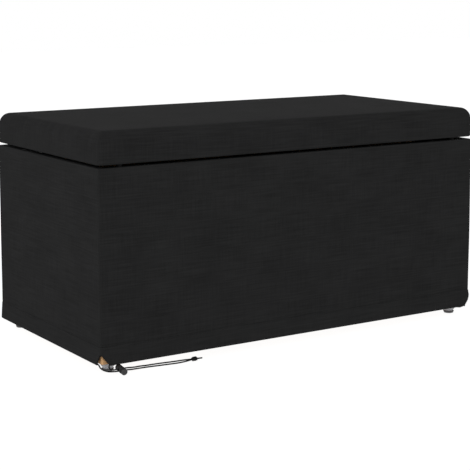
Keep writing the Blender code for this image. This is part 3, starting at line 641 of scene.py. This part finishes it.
# How much sharper the lid's upright corners get further in, and the sharpest they get
LID_CORNER_EASING = 0.45
LID_CORNER_LEAST = 3 * MM

# Half the cells along and across the top, of the cover and of the pad
COVER_CELLS = (48, 30)
PAD_CELLS = (24, 16)

# The pad lies inside its cover, by these distances at its sides and top
PAD_SIDE_GAP = 2.4 * MM
PAD_TOP_GAP = 2.2 * MM


def lid_rows():
    """The lid's side from under its edge, round and up to the start of its flat top."""
    rows = [(-LID_LIP, LID_BOTTOM)]
    rows += between(rows[-1], (-LID_BOTTOM_ROUND, LID_BOTTOM), 5)
    rows += bow((-LID_BOTTOM_ROUND, LID_BOTTOM + LID_BOTTOM_ROUND), LID_BOTTOM_ROUND, -90, 0, 7)[1:]
    rows += between(rows[-1], (0.0, LID_TOP - LID_TOP_FALL), 8)
    return rows + top_round(0.0, 14)


def top_round(gap, steps):
    """The soft upper edge, a gap inside the cover: it falls further than it comes in."""
    points = []
    for step in range(1, steps + 1):
        angle = math.radians(90 * step / steps)
        points.append((-LID_TOP_ROUND + (LID_TOP_ROUND - gap) * math.cos(angle),
                       LID_TOP - LID_TOP_FALL + (LID_TOP_FALL - gap) * math.sin(angle)))
    return points


def lid_relief(x, y, z):
    """Slow unevenness of the lid's soft sides and top."""
    slow = waves(x * 6.0, y * 6.0, z * 8.0 + 3.0)
    return 0.7 * MM * slow + 0.2 * MM * waves(x * 25.0, y * 25.0, z * 20.0)


def lid_ring_point(column, outset):
    """Position and outward direction on the lid's outline, a distance out from its side."""
    radius = max(LID_CORNER + LID_CORNER_EASING * outset, LID_CORNER_LEAST)
    return ring_point(column, LID_X + outset, LID_Y + outset, radius)


def folded_out(columns, points, row, column, drops):
    """Map of one face of the lid's sides, folded out level beyond the flat top."""
    side = columns[column][0]
    way = -1 if side in (FRONT, LEFT) else 1
    corners = []
    for index, level in ((column, row), (column + 1, row), (column + 1, row + 1), (column, row + 1)):
        x, y, _ = points[level * len(columns) + index % len(columns)]
        if side in (FRONT, BACK):
            corners.append((x, (LID_Y - LID_TOP_ROUND + drops[level]) * way))
        else:
            corners.append(((LID_X - LID_TOP_ROUND + drops[level]) * way, y))
    return corners


def top_faces(points, cells, gap):
    """Adds the grid over the lid's top to its sides' points, and gives the grid's faces.

    The grid's border is the last ring of the sides, and its top is a gap inside the cover.
    """
    wide, deep = 2 * cells[0], 2 * cells[1]
    total = 2 * (wide + deep)
    last = len(points) - total
    edge_x = [points[last + i][0] for i in range(wide + 1)]
    edge_y = [points[last + wide + i][1] for i in range(deep + 1)]
    grid = [[None] * (wide + 1) for _ in range(deep + 1)]
    for i in range(wide):
        grid[0][i] = last + i
        grid[deep][wide - i] = last + wide + deep + i
    for j in range(deep):
        grid[j][wide] = last + wide + j
        grid[deep - j][0] = last + (2 * wide + deep + j) % total
    top = LID_TOP - gap
    for j in range(1, deep):
        for i in range(1, wide):
            x, y = edge_x[i], edge_y[j]
            near_x = max(0.0, 1 - (x / edge_x[-1]) ** 2)
            near_y = max(0.0, 1 - (y / edge_y[-1]) ** 2)
            rise = (near_x * near_y) ** 0.5
            soft = lid_relief(x, y, top) * min(1.0, 3 * rise)
            grid[j][i] = len(points)
            points.append((x, y, top + LID_CROWN * rise + soft))
    return [(grid[j][i], grid[j][i + 1], grid[j + 1][i + 1], grid[j + 1][i])
            for j in range(deep) for i in range(wide)]


def level_maps(points, faces):
    """Maps of faces as they are seen from above."""
    return [[tuple(points[vertex][:2]) for vertex in loop] for loop in faces]


def lid_cover():
    """The lid's cover: soft sides in rings, and a grid over the top."""
    columns = ring_columns(*COVER_CELLS, 2.0)
    rows = lid_rows()
    points = []
    for outset, z in rows:
        height = (z - LID_BOTTOM) / (LID_TOP - LID_BOTTOM)
        belly = math.sin(math.pi * min(height, 1.0))
        for column in columns:
            place, normal = lid_ring_point(column, outset)
            swell = LID_SWELL * math.sin(math.pi * column[1]) * belly
            soft = lid_relief(place.x, place.y, z) * belly
            points.append((*(place + normal * (swell + soft)), z))
    travelled = lengths_along(rows)
    drops = [travelled[-1] - length for length in travelled]
    maps = [folded_out(columns, points, row, column, drops)
            for row in range(len(rows) - 1) for column in range(len(columns))]
    over_top = top_faces(points, COVER_CELLS, 0.0)
    faces = quads(len(rows), len(columns)) + over_top
    maps += level_maps(points, over_top)
    cover = add_piece("lid_slipcover", points, faces, maps, LID_CLOTH, "lid",
                      ["lid_cover"])
    thicken(cover, SKIN)


def lid_pad():
    """The foam under the cover, on the lid's board."""
    columns = ring_columns(*PAD_CELLS, 1.5)
    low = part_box("lid_foam")[0].z
    rows = [(-PAD_SIDE_GAP - 1 * MM, low), (-PAD_SIDE_GAP, low + 1 * MM)]
    rows += between(rows[-1], (-PAD_SIDE_GAP, LID_TOP - LID_TOP_FALL), 4)
    rows += top_round(PAD_SIDE_GAP, 9)
    points = []
    for outset, z in rows:
        points += [(*lid_ring_point(column, outset)[0], z) for column in columns]
    faces = quads(len(rows), len(columns)) + top_faces(points, PAD_CELLS, PAD_TOP_GAP)
    faces.append(tuple(range(len(columns)))[::-1])
    pad = add_piece("lid_pad", points, faces, level_maps(points, faces), FOAM, "lid",
                    ["lid_foam"])


# Cloth under the lid: thickness, height above its solid's underside, and ripples near its edge
UNDER_THICKNESS = 0.5 * MM
UNDER_LIFT = 0.35 * MM
UNDER_RIPPLE = 0.3 * MM
UNDER_RIPPLE_REACH = 12 * MM

# Staples under the lid
STAPLE_WIDTH = 9 * MM
STAPLE_PITCH = 38 * MM
STAPLE_INSET = 7 * MM
STAPLE_RADIUS = 0.3 * MM
STAPLE_SUNK = 0.7 * MM
STAPLE_PROUD = 0.12 * MM
LID_HARDWARE = [f"{part}_{side}" for part in ("hinge_lid_leaf", "stay_bracket") for side in SIDE_NAMES]


def underside_cloth():
    """The cloth stapled over the lid's underside, inside the lip of its cover."""
    low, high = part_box("lid_underside_cloth")
    rows, columns = 60, 120
    points, faces = [], []
    for j in range(rows + 1):
        for i in range(columns + 1):
            x = low.x + (high.x - low.x) * i / columns
            y = low.y + (high.y - low.y) * j / rows
            edge = min(high.x - abs(x), high.y - abs(y))
            ripple = waves(x * 40, y * 40, 0.0) * math.exp(-edge / UNDER_RIPPLE_REACH)
            points.append((x, y, low.z + UNDER_LIFT + UNDER_RIPPLE * ripple))
    for j in range(rows):
        for i in range(columns):
            first = j * (columns + 1) + i
            faces.append((first, first + columns + 1, first + columns + 2, first + 1))
    cloth = add_piece("lid_dust_cloth", points, faces, level_maps(points, faces), UNDER_CLOTH, "lid",
                      ["lid_underside_cloth"])
    thicken(cloth, UNDER_THICKNESS)


def staple(x, y, z, along):
    """Route of one staple's crown and the tops of its legs, under the lid."""
    along = Vector((*along, 0.0)) * STAPLE_WIDTH / 2
    middle = Vector((x, y, z))
    sunk = Vector((0, 0, STAPLE_SUNK))
    return [middle - along + sunk, middle - along, middle + along, middle + along + sunk]


def lid_staples():
    """A row of staples through the cover's lip, all round the underside cloth."""
    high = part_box("lid_underside_cloth")[1]
    routes = []
    z = LID_BOTTOM - STAPLE_PROUD
    for side in range(4):
        (along_x, along_y), (out_x, out_y) = SIDES[side]
        reach, depth = (high.x, high.y) if side in (FRONT, BACK) else (high.y, high.x)
        count = round(2 * reach / STAPLE_PITCH)
        for index in range(count):
            travel = (2 * (index + 0.5) / count - 1) * reach
            out = depth + STAPLE_INSET
            x, y = along_x * travel + out_x * out, along_y * travel + out_y * out
            if near_hardware(x, y):
                continue
            routes.append(staple(x, y, z, (along_x, along_y)))
    tubes("lid_staples", routes, STAPLE_RADIUS, 6, STAPLE, "lid")


def near_hardware(x, y):
    """True where a staple would be under a bracket or a hinge leaf."""
    for name in LID_HARDWARE:
        low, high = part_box(name)
        near_x = low.x - STAPLE_WIDTH < x < high.x + STAPLE_WIDTH
        near_y = low.y - STAPLE_WIDTH < y < high.y + STAPLE_WIDTH
        if near_x and near_y:
            return True
    return False


# ---------------- wadding of the box

WADDING_DEPTH = 3 * MM
WADDING_CORNER = 4 * MM
WADDING_INSIDE = 0.15 * MM
WADDING_RELIEF = 0.12 * MM
WADDING_ROWS = 24


def box_wadding():
    """A band of fleece round the wooden box, with soft edges and a matted face."""
    low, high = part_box("side_wadding")
    columns = ring_columns(70, 44)
    levels = [low.z + (high.z - low.z) * step / WADDING_ROWS for step in range(WADDING_ROWS + 1)]
    outer = [(-WADDING_INSIDE, z) for z in levels]
    inner = [(-WADDING_DEPTH + WADDING_INSIDE, z) for z in reversed(levels)]
    middle = -WADDING_DEPTH / 2
    profile = [(middle, low.z + 0.1 * MM), *outer, (middle, high.z - 0.1 * MM), *inner]
    points = []
    for outset, z in profile:
        radius = max(WADDING_CORNER + outset, 1 * MM)
        for column in columns:
            place, normal = ring_point(column, high.x + outset, high.y + outset, radius)
            soft = waves(place.x * 60, place.y * 60, z * 60) * WADDING_RELIEF
            points.append((*(place + normal * min(soft, 0.0)), z))
    total = len(columns)
    last = (len(profile) - 1) * total
    faces = quads(len(profile), total)
    faces += [(last + i, last + (i + 1) % total, (i + 1) % total, i) for i in range(total)]
    maps = []
    for loop in faces:
        corners = [points[vertex] for vertex in loop]
        maps.append([(x + y, z) for x, y, z in corners])
    wadding = add_piece("box_wadding", points, faces, maps, FLEECE, "base",
                        ["side_wadding"])


# ---------------- cords, knot and lock

CORD_RADIUS = 1.5 * MM
CORD_FLOOR = 0.00155

KNOT_CENTRE = Vector((-0.2800, -0.2545, 0.0050))
KNOT_LENGTH = 15 * MM
KNOT_DIAMETER = 9.9 * MM
KNOT_TURNS = 3.9
KNOT_PITCH = 3.0 * MM
KNOT_START = KNOT_CENTRE.x - KNOT_LENGTH / 2 - 0.3 * MM
STRAND_HEIGHT = 0.0047

# The knot's two strands: where each goes in, across the knot, and its tail from the knot's middle
KNOT_STRANDS = (
    (-1.9 * MM, Vector((21.5, 4.2, -2.2)) * MM),
    (1.9 * MM, Vector((10.0, -4.0, 0.6)) * MM),
)

# The cord lock is a tilted barrel; its frame's origin is at the cords' passage
LOCK_RADIUS = 7.0 * MM
LOCK_TILT = math.radians(9)
LOCK_FRAME = Matrix.Translation((-0.4555, -0.2560, 0.00905)) @ Matrix.Rotation(LOCK_TILT, 4, "X")
LOCK_AXIS = LOCK_FRAME.to_3x3() @ Vector((0, 1, 0))
CORD_RISE = 2.2 * MM
PASSAGE_HALF_WIDTH = CORD_RADIUS + 0.3 * MM
PASSAGE_HALF_HEIGHT = CORD_RISE + CORD_RADIUS + 0.4 * MM
PASSAGE_ROUND = 1.4 * MM
BUTTON_TRAVEL = 3 * MM


def in_lock(side, height):
    """A point of the cords' passage, on the left or right of the barrel."""
    return tuple(LOCK_FRAME @ Vector((side * LOCK_RADIUS, 0, height)))


def half_turn(start, end):
    """Points of half a turn, leaving the start leftwards and coming back level with the end."""
    middle, arm = (start + end) / 2, (start - end) / 2
    arm.x = 0
    points = []
    for step in range(7):
        angle = math.pi * step / 6
        point = middle + arm * math.cos(angle)
        point.x = start.x - arm.length * math.sin(angle)
        points.append(tuple(point))
    return points


# Routes of the cord's two ends, from the hem through the lock and along the floor to the knot
LEFT_ROUTE = [
    (-0.4987, -0.2358, 0.0215), (-0.4987, -0.2390, 0.0211), (-0.4990, -0.2425, 0.0197),
    (-0.4994, -0.2462, 0.0178), (-0.4988, -0.2500, 0.0161), (-0.4968, -0.2532, 0.0142),
    (-0.4928, -0.2552, 0.0120), (-0.4850, -0.2556, 0.0092), (-0.4770, -0.2552, 0.0077),
    (-0.4695, -0.2554, 0.0070), in_lock(-1, -CORD_RISE), in_lock(1, -CORD_RISE),
    (-0.4400, -0.2566, 0.0066), (-0.4310, -0.2560, 0.0058), (-0.4145, -0.2517, 0.0042),
    (-0.3945, -0.2475, 0.0025), (-0.3760, -0.2465, CORD_FLOOR), (-0.3573, -0.2489, CORD_FLOOR),
    (-0.3393, -0.2510, CORD_FLOOR), (-0.3211, -0.2531, CORD_FLOOR), (-0.3030, -0.2548, 0.0026),
    (KNOT_START, -0.2564, STRAND_HEIGHT),
]
RIGHT_ROUTE = [
    *half_turn(Vector((-0.4753, -0.2487, 0.0215)), Vector(in_lock(-1, CORD_RISE))),
    in_lock(-1, CORD_RISE), in_lock(1, CORD_RISE),
    (-0.4400, -0.2562, 0.0109), (-0.4310, -0.2544, 0.0096), (-0.4200, -0.2505, 0.0079),
    (-0.4105, -0.2455, 0.0064), (-0.3990, -0.2402, 0.0045), (-0.3880, -0.2365, 0.0028),
    (-0.3690, -0.2338, 0.0017), (-0.3494, -0.2350, CORD_FLOOR), (-0.3313, -0.2373, CORD_FLOOR),
    (-0.3130, -0.2400, 0.0018), (-0.3000, -0.2445, 0.0030), (KNOT_START, -0.2526, STRAND_HEIGHT),
]


def cord_knot():
    """A barrel knot: about four turns round the two strands, whose tails stick out of it."""
    turn_radius = KNOT_DIAMETER / 2 - CORD_RADIUS
    per_turn = 16
    wraps = []
    for step in range(round(KNOT_TURNS * per_turn) + 1):
        share = step / (KNOT_TURNS * per_turn)
        angle = math.tau * KNOT_TURNS * share + 0.8
        pinch = 0.55 + 0.45 * min(1.0, 9 * share, 9 * (1 - share))
        reach = turn_radius * pinch * (1 - 0.10 * (2 * share - 1) ** 2)
        along = (share - 0.5) * KNOT_TURNS * KNOT_PITCH
        wraps.append(KNOT_CENTRE + Vector((along, reach * math.cos(angle), reach * math.sin(angle))))
    quarter = KNOT_LENGTH / 4
    strands = []
    for start_y, tail in KNOT_STRANDS:
        lean = math.copysign(1.35 * MM, tail.y)
        strands.append(smooth_route([
            (KNOT_START, KNOT_CENTRE.y + start_y, STRAND_HEIGHT),
            KNOT_CENTRE + Vector((-quarter, -lean, 0)),
            KNOT_CENTRE + Vector((quarter, lean, 0)),
            KNOT_CENTRE + Vector((0.62 * tail.x, 0.6 * tail.y, 0.6 * tail.z)),
            KNOT_CENTRE + tail,
        ], 1.2 * MM))
    return tubes("cord_knot", [wraps, *strands], CORD_RADIUS, 12, CORD, "base",
                 ["drawcord_knot"])


def cord_ends():
    """The two free ends of the drawcord, from the hem through the lock to the knot."""
    knot = cord_knot()
    for name, points in (("left", LEFT_ROUTE), ("right", RIGHT_ROUTE)):
        route = smooth_route(points, 1.6 * MM)
        cord = tubes(f"cord_end_{name}", [route], CORD_RADIUS, 14, CORD, "base",
                     [f"drawcord_{name}_end"])


def cut_slot(item, front, rear):
    """Cuts the cords' passage across the lock, and applies the cut."""
    reach = 3 * LOCK_RADIUS
    shape = bmesh.new()
    bmesh.ops.create_cube(shape, size=1.0)
    size = Matrix.Diagonal((2 * reach, rear - front, 2 * PASSAGE_HALF_HEIGHT, 1.0))
    placed = Matrix.Translation((0, (front + rear) / 2, 0)) @ size
    bmesh.ops.transform(shape, matrix=placed, verts=shape.verts)
    long_edges = [edge for edge in shape.edges if edge.calc_length() > reach]
    bmesh.ops.bevel(shape, geom=long_edges, offset=PASSAGE_ROUND, segments=4, profile=0.5,
                    affect="EDGES")
    bmesh.ops.transform(shape, matrix=LOCK_FRAME, verts=shape.verts)
    mesh = bpy.data.meshes.new("slot")
    shape.to_mesh(mesh)
    shape.free()
    tool = bpy.data.objects.new("slot", mesh)
    bpy.context.scene.collection.objects.link(tool)
    modifier = item.modifiers.new("slot", "BOOLEAN")
    modifier.operation = "DIFFERENCE"
    modifier.solver = "EXACT"
    modifier.object = tool
    bpy.context.view_layer.update()
    graph = bpy.context.evaluated_depsgraph_get()
    cut_mesh = bpy.data.meshes.new_from_object(item.evaluated_get(graph))
    item.modifiers.clear()
    item.data = cut_mesh
    bpy.data.objects.remove(tool, do_unlink=True)
    item.data.shade_smooth()
    item.data.set_sharp_from_angle(angle=math.radians(38))
    soften = item.modifiers.new("eased_edges", "BEVEL")
    soften.width = 0.15 * MM
    soften.segments = 2
    soften.angle_limit = math.radians(38)


def lock_barrel():
    """The lock's body: a bored barrel with a rounded closed end, three ribs and a front groove."""
    front, rear = -7.5 * MM, 15.5 * MM
    bore, wall = 5.4 * MM, 2.5 * MM
    outer, round_end, lip = LOCK_RADIUS, 1.8 * MM, 0.7 * MM
    depth = 0.35 * MM
    sunk = outer - depth
    profile = [(0, rear), *bow((outer - round_end, rear - round_end), round_end, 90, 0, 6)]
    for rib in range(3):
        start = rear - 2.8 * MM - rib * 1.9 * MM
        profile += [(outer, start), (sunk, start - depth), (sunk, start - 0.85 * MM),
                    (outer, start - 1.2 * MM)]
    profile += [(outer, front + 3.4 * MM), (sunk, front + 3.0 * MM),
                (sunk, front + 2.6 * MM), (outer, front + 2.2 * MM),
                *bow((outer - lip, front + lip), lip, 0, -90, 5),
                (bore, front), (bore, rear - wall), (0, rear - wall)]
    barrel = turned_piece("lock_barrel", profile, 72, LOCK_FRAME.translation, LOCK_AXIS, LOCK_DARK,
                          "base", ["cord_lock_body"])
    cut_slot(barrel, -PASSAGE_HALF_WIDTH, PASSAGE_HALF_WIDTH)


def lock_plunger():
    """The lock's button: a stem in the bore, and a dished cap nearly as wide as the barrel."""
    stem, stem_end = 5.1 * MM, 4.5 * MM
    cap, cap_rear, cap_front = 6.8 * MM, -10.9 * MM, -15.0 * MM
    edge, chamfer = 1.3 * MM, 0.3 * MM
    profile = [(0, stem_end), (stem, stem_end), (stem, cap_rear), (cap - chamfer, cap_rear),
               (cap, cap_rear - chamfer), *bow((cap - edge, cap_front + edge), edge, 0, -80, 6),
               (3.4 * MM, cap_front), (3.1 * MM, cap_front + 0.1 * MM),
               (2.8 * MM, cap_front + 0.4 * MM), (0, cap_front + 0.55 * MM)]
    plunger = turned_piece("lock_plunger", profile, 72, LOCK_FRAME.translation, LOCK_AXIS,
                           BUTTON_DARK, "lock_button", ["cord_lock_button"])
    cut_slot(plunger, -PASSAGE_HALF_WIDTH - BUTTON_TRAVEL, PASSAGE_HALF_WIDTH)


def lock_spring():
    """The spring inside the lock, from the button's stem to the barrel's closed end."""
    start, end = 4.8 * MM, 12.7 * MM
    wire, coil, turns, per_turn = 0.4 * MM, 3.6 * MM, 5, 20
    closed_share = 0.12
    low, high = start + wire, end - wire
    route = []
    for step in range(turns * per_turn + 1):
        share = step / (turns * per_turn)
        angle = math.tau * turns * share
        climb = min(1.0, max(0.0, (share - closed_share) / (1 - 2 * closed_share)))
        route.append(LOCK_FRAME @ Vector((coil * math.cos(angle), low + (high - low) * climb,
                                          coil * math.sin(angle))))
    spring = tubes("lock_spring", [route], wire, 8, SPRING, "base",
                   ["cord_lock_spring"])
    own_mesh(spring)


# ---------------- glides

GLIDE_TOP = WOOD_BOTTOM - 0.3 * MM
GLIDE_TOP_ROUND = 1.2 * MM
GLIDE_BELLY = 5.2 * MM
GLIDE_SPLIT = 5.6 * MM
GLIDE_NECK = 11.2 * MM
FOOT_RADIUS = 11.6 * MM
FOOT_ROUND = 1.15 * MM
SOLE_RADIUS = 10.8 * MM
SOLE_ROUND = 0.6 * MM
PIN_RADIUS = 2.5 * MM
PIN_TIP_RADIUS = 1.6 * MM


def glide(corner):
    """A turned glide: a bright cup, a neck, a darker foot, and a pin into the wood."""
    low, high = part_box(f"glide_{corner}")
    centre = (low + high) / 2
    place = (centre.x, centre.y, 0.0)
    cup_radius = (high.x - low.x) / 2
    top, split, rim = GLIDE_TOP, GLIDE_SPLIT, cup_radius - GLIDE_TOP_ROUND
    cup = [(0, top), (rim, top), *bow((rim, top - GLIDE_TOP_ROUND), GLIDE_TOP_ROUND, 90, 0, 5)[1:],
           (cup_radius, 14.4 * MM), *bow((cup_radius - GLIDE_BELLY, 13.6 * MM), GLIDE_BELLY, 8, -62, 9),
           (11.9 * MM, 7.6 * MM), (GLIDE_NECK, 6.6 * MM), (GLIDE_NECK, split), (0, split)]
    foot_top = split - 0.05 * MM
    foot = [(0, foot_top), (FOOT_RADIUS, foot_top),
            *bow((FOOT_RADIUS, foot_top - FOOT_ROUND), FOOT_ROUND, 90, -20, 6)[1:],
            (SOLE_RADIUS + SOLE_ROUND, 0.8 * MM),
            *bow((SOLE_RADIUS, SOLE_ROUND), SOLE_ROUND, 0, -90, 4), (0, 0.0)]
    pin_low = top - 0.2 * MM
    pin = [(0, high.z), (PIN_TIP_RADIUS, high.z), (PIN_RADIUS, high.z - 1 * MM),
           (PIN_RADIUS, pin_low), (0, pin_low)]
    for part, profile, sides, material, replaced in (
            ("cup", cup, 64, GLIDE_GREY, [f"glide_{corner}"]),
            ("foot", foot, 64, GLIDE_DARK, []),
            ("pin", pin, 32, GLIDE_DARK, [])):
        piece = turned_piece(f"glide_{part}_{corner}", profile, sides, place, (0, 0, 1), material,
                             "base", replaced)
        piece.data.set_sharp_from_angle(angle=math.radians(40))


# ---------------- carried-over nodes

def dress(names, material, bevel=0.0):
    """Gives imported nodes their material, and soft edges where a width is given."""
    for name in names:
        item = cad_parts[name]
        item.material_slots[0].material = material
        if bevel:
            soften = item.modifiers.new("eased_edges", "BEVEL")
            soften.width = bevel
            soften.segments = 2
            soften.angle_limit = math.radians(40)


box_cover()
hem_stitching()
lid_cover()
lid_pad()
underside_cloth()
lid_staples()
box_wadding()
cord_ends()
lock_barrel()
lock_plunger()
lock_spring()
for corner_name in CORNER_NAMES:
    glide(corner_name)

dress(("front_panel", "back_panel"), PLY_Y)
dress(("left_panel", "right_panel"), PLY_X)
dress(("bottom_board", "lid_board"), PLY_Z)
dress([f"corner_post_{name}" for name in CORNER_NAMES], PINE)
dress(["hem_drawcord"], CORD)
dress([f"lid_bumper_{name}" for name in SIDE_NAMES], RUBBER, 0.8 * MM)
for node_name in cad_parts:
    if "_screw_" in node_name:
        dress([node_name], SCREW, 0.15 * MM)
    elif node_name.startswith(("hinge_", "stay_")):
        dress([node_name], ZINC, 0.2 * MM)


# ---------------- floor, light and camera

WHITE = (1.0, 1.0, 1.0)
OVERHEAD = (0.68, 0.68, 0.68)
FLOOR_COLOUR = (0.08, 0.08, 0.08)
FLOOR_GLOW = 0.95

# Soft lights: name, place, and power in watts. They are square, and aimed at the bench's middle
LIGHTS = (
    ("key", (-2.9, -1.4, 2.2), 58.0),
    ("fill", (2.4, -3.0, 2.2), 22.0),
)
LIGHT_SIZE = 2.5
LIGHT_TARGET = Vector((0, 0, 0.25))

# Camera: a long lens to the front left, looking a little down
CAMERA_PLACE = (-1.7474, -2.6821, 0.7953)
CAMERA_TURN = math.radians(-32.89)
CAMERA_FALL = math.radians(7.54)
CAMERA_LENS = 105.4
CAMERA_SHIFT = -0.15


def white_floor():
    """A level floor, white by its own glow, that keeps a trace of shadow."""
    reach = 12.0
    mesh = bpy.data.meshes.new("floor")
    corners = [(-reach, -reach, 0), (reach, -reach, 0), (reach, reach, 0), (-reach, reach, 0)]
    mesh.from_pydata(corners, [], [(0, 1, 2, 3)])
    floor = bpy.data.objects.new("floor", mesh)
    bpy.context.scene.collection.objects.link(floor)
    material, _, shader = new_material("floor", FLOOR_COLOUR, 0.9, specular=0.1)
    shader.inputs["Emission Color"].default_value = (*WHITE, 1.0)
    shader.inputs["Emission Strength"].default_value = FLOOR_GLOW
    mesh.materials.append(material)


def studio():
    """A white surround that is softer overhead, and two soft lights."""
    scene = bpy.context.scene
    scene.view_settings.view_transform = "Standard"
    world = bpy.data.worlds.new("surround")
    scene.world = world
    world.use_nodes = True
    tree = world.node_tree
    height = node(tree, "SeparateXYZ", {0: node(tree, "TexCoord").outputs["Generated"]}).outputs[2]
    white = ramp(tree, height, [(0.30, WHITE), (0.85, OVERHEAD)])
    tree.links.new(white, tree.nodes["Background"].inputs["Color"])
    for name, place, power in LIGHTS:
        light = bpy.data.lights.new(name, "AREA")
        light.size = LIGHT_SIZE
        light.energy = power
        lamp = bpy.data.objects.new(name, light)
        lamp.location = place
        lamp.rotation_euler = (LIGHT_TARGET - Vector(place)).to_track_quat("-Z", "Y").to_euler()
        scene.collection.objects.link(lamp)


def camera():
    """The camera, at the bench's front left."""
    data = bpy.data.cameras.new("camera")
    data.sensor_width = 36.0
    data.lens = CAMERA_LENS
    data.shift_y = CAMERA_SHIFT
    item = bpy.data.objects.new("camera", data)
    item.location = CAMERA_PLACE
    item.rotation_euler = (math.radians(90) - CAMERA_FALL, 0.0, CAMERA_TURN)
    bpy.context.scene.collection.objects.link(item)
    bpy.context.scene.camera = item


white_floor()
studio()
camera()
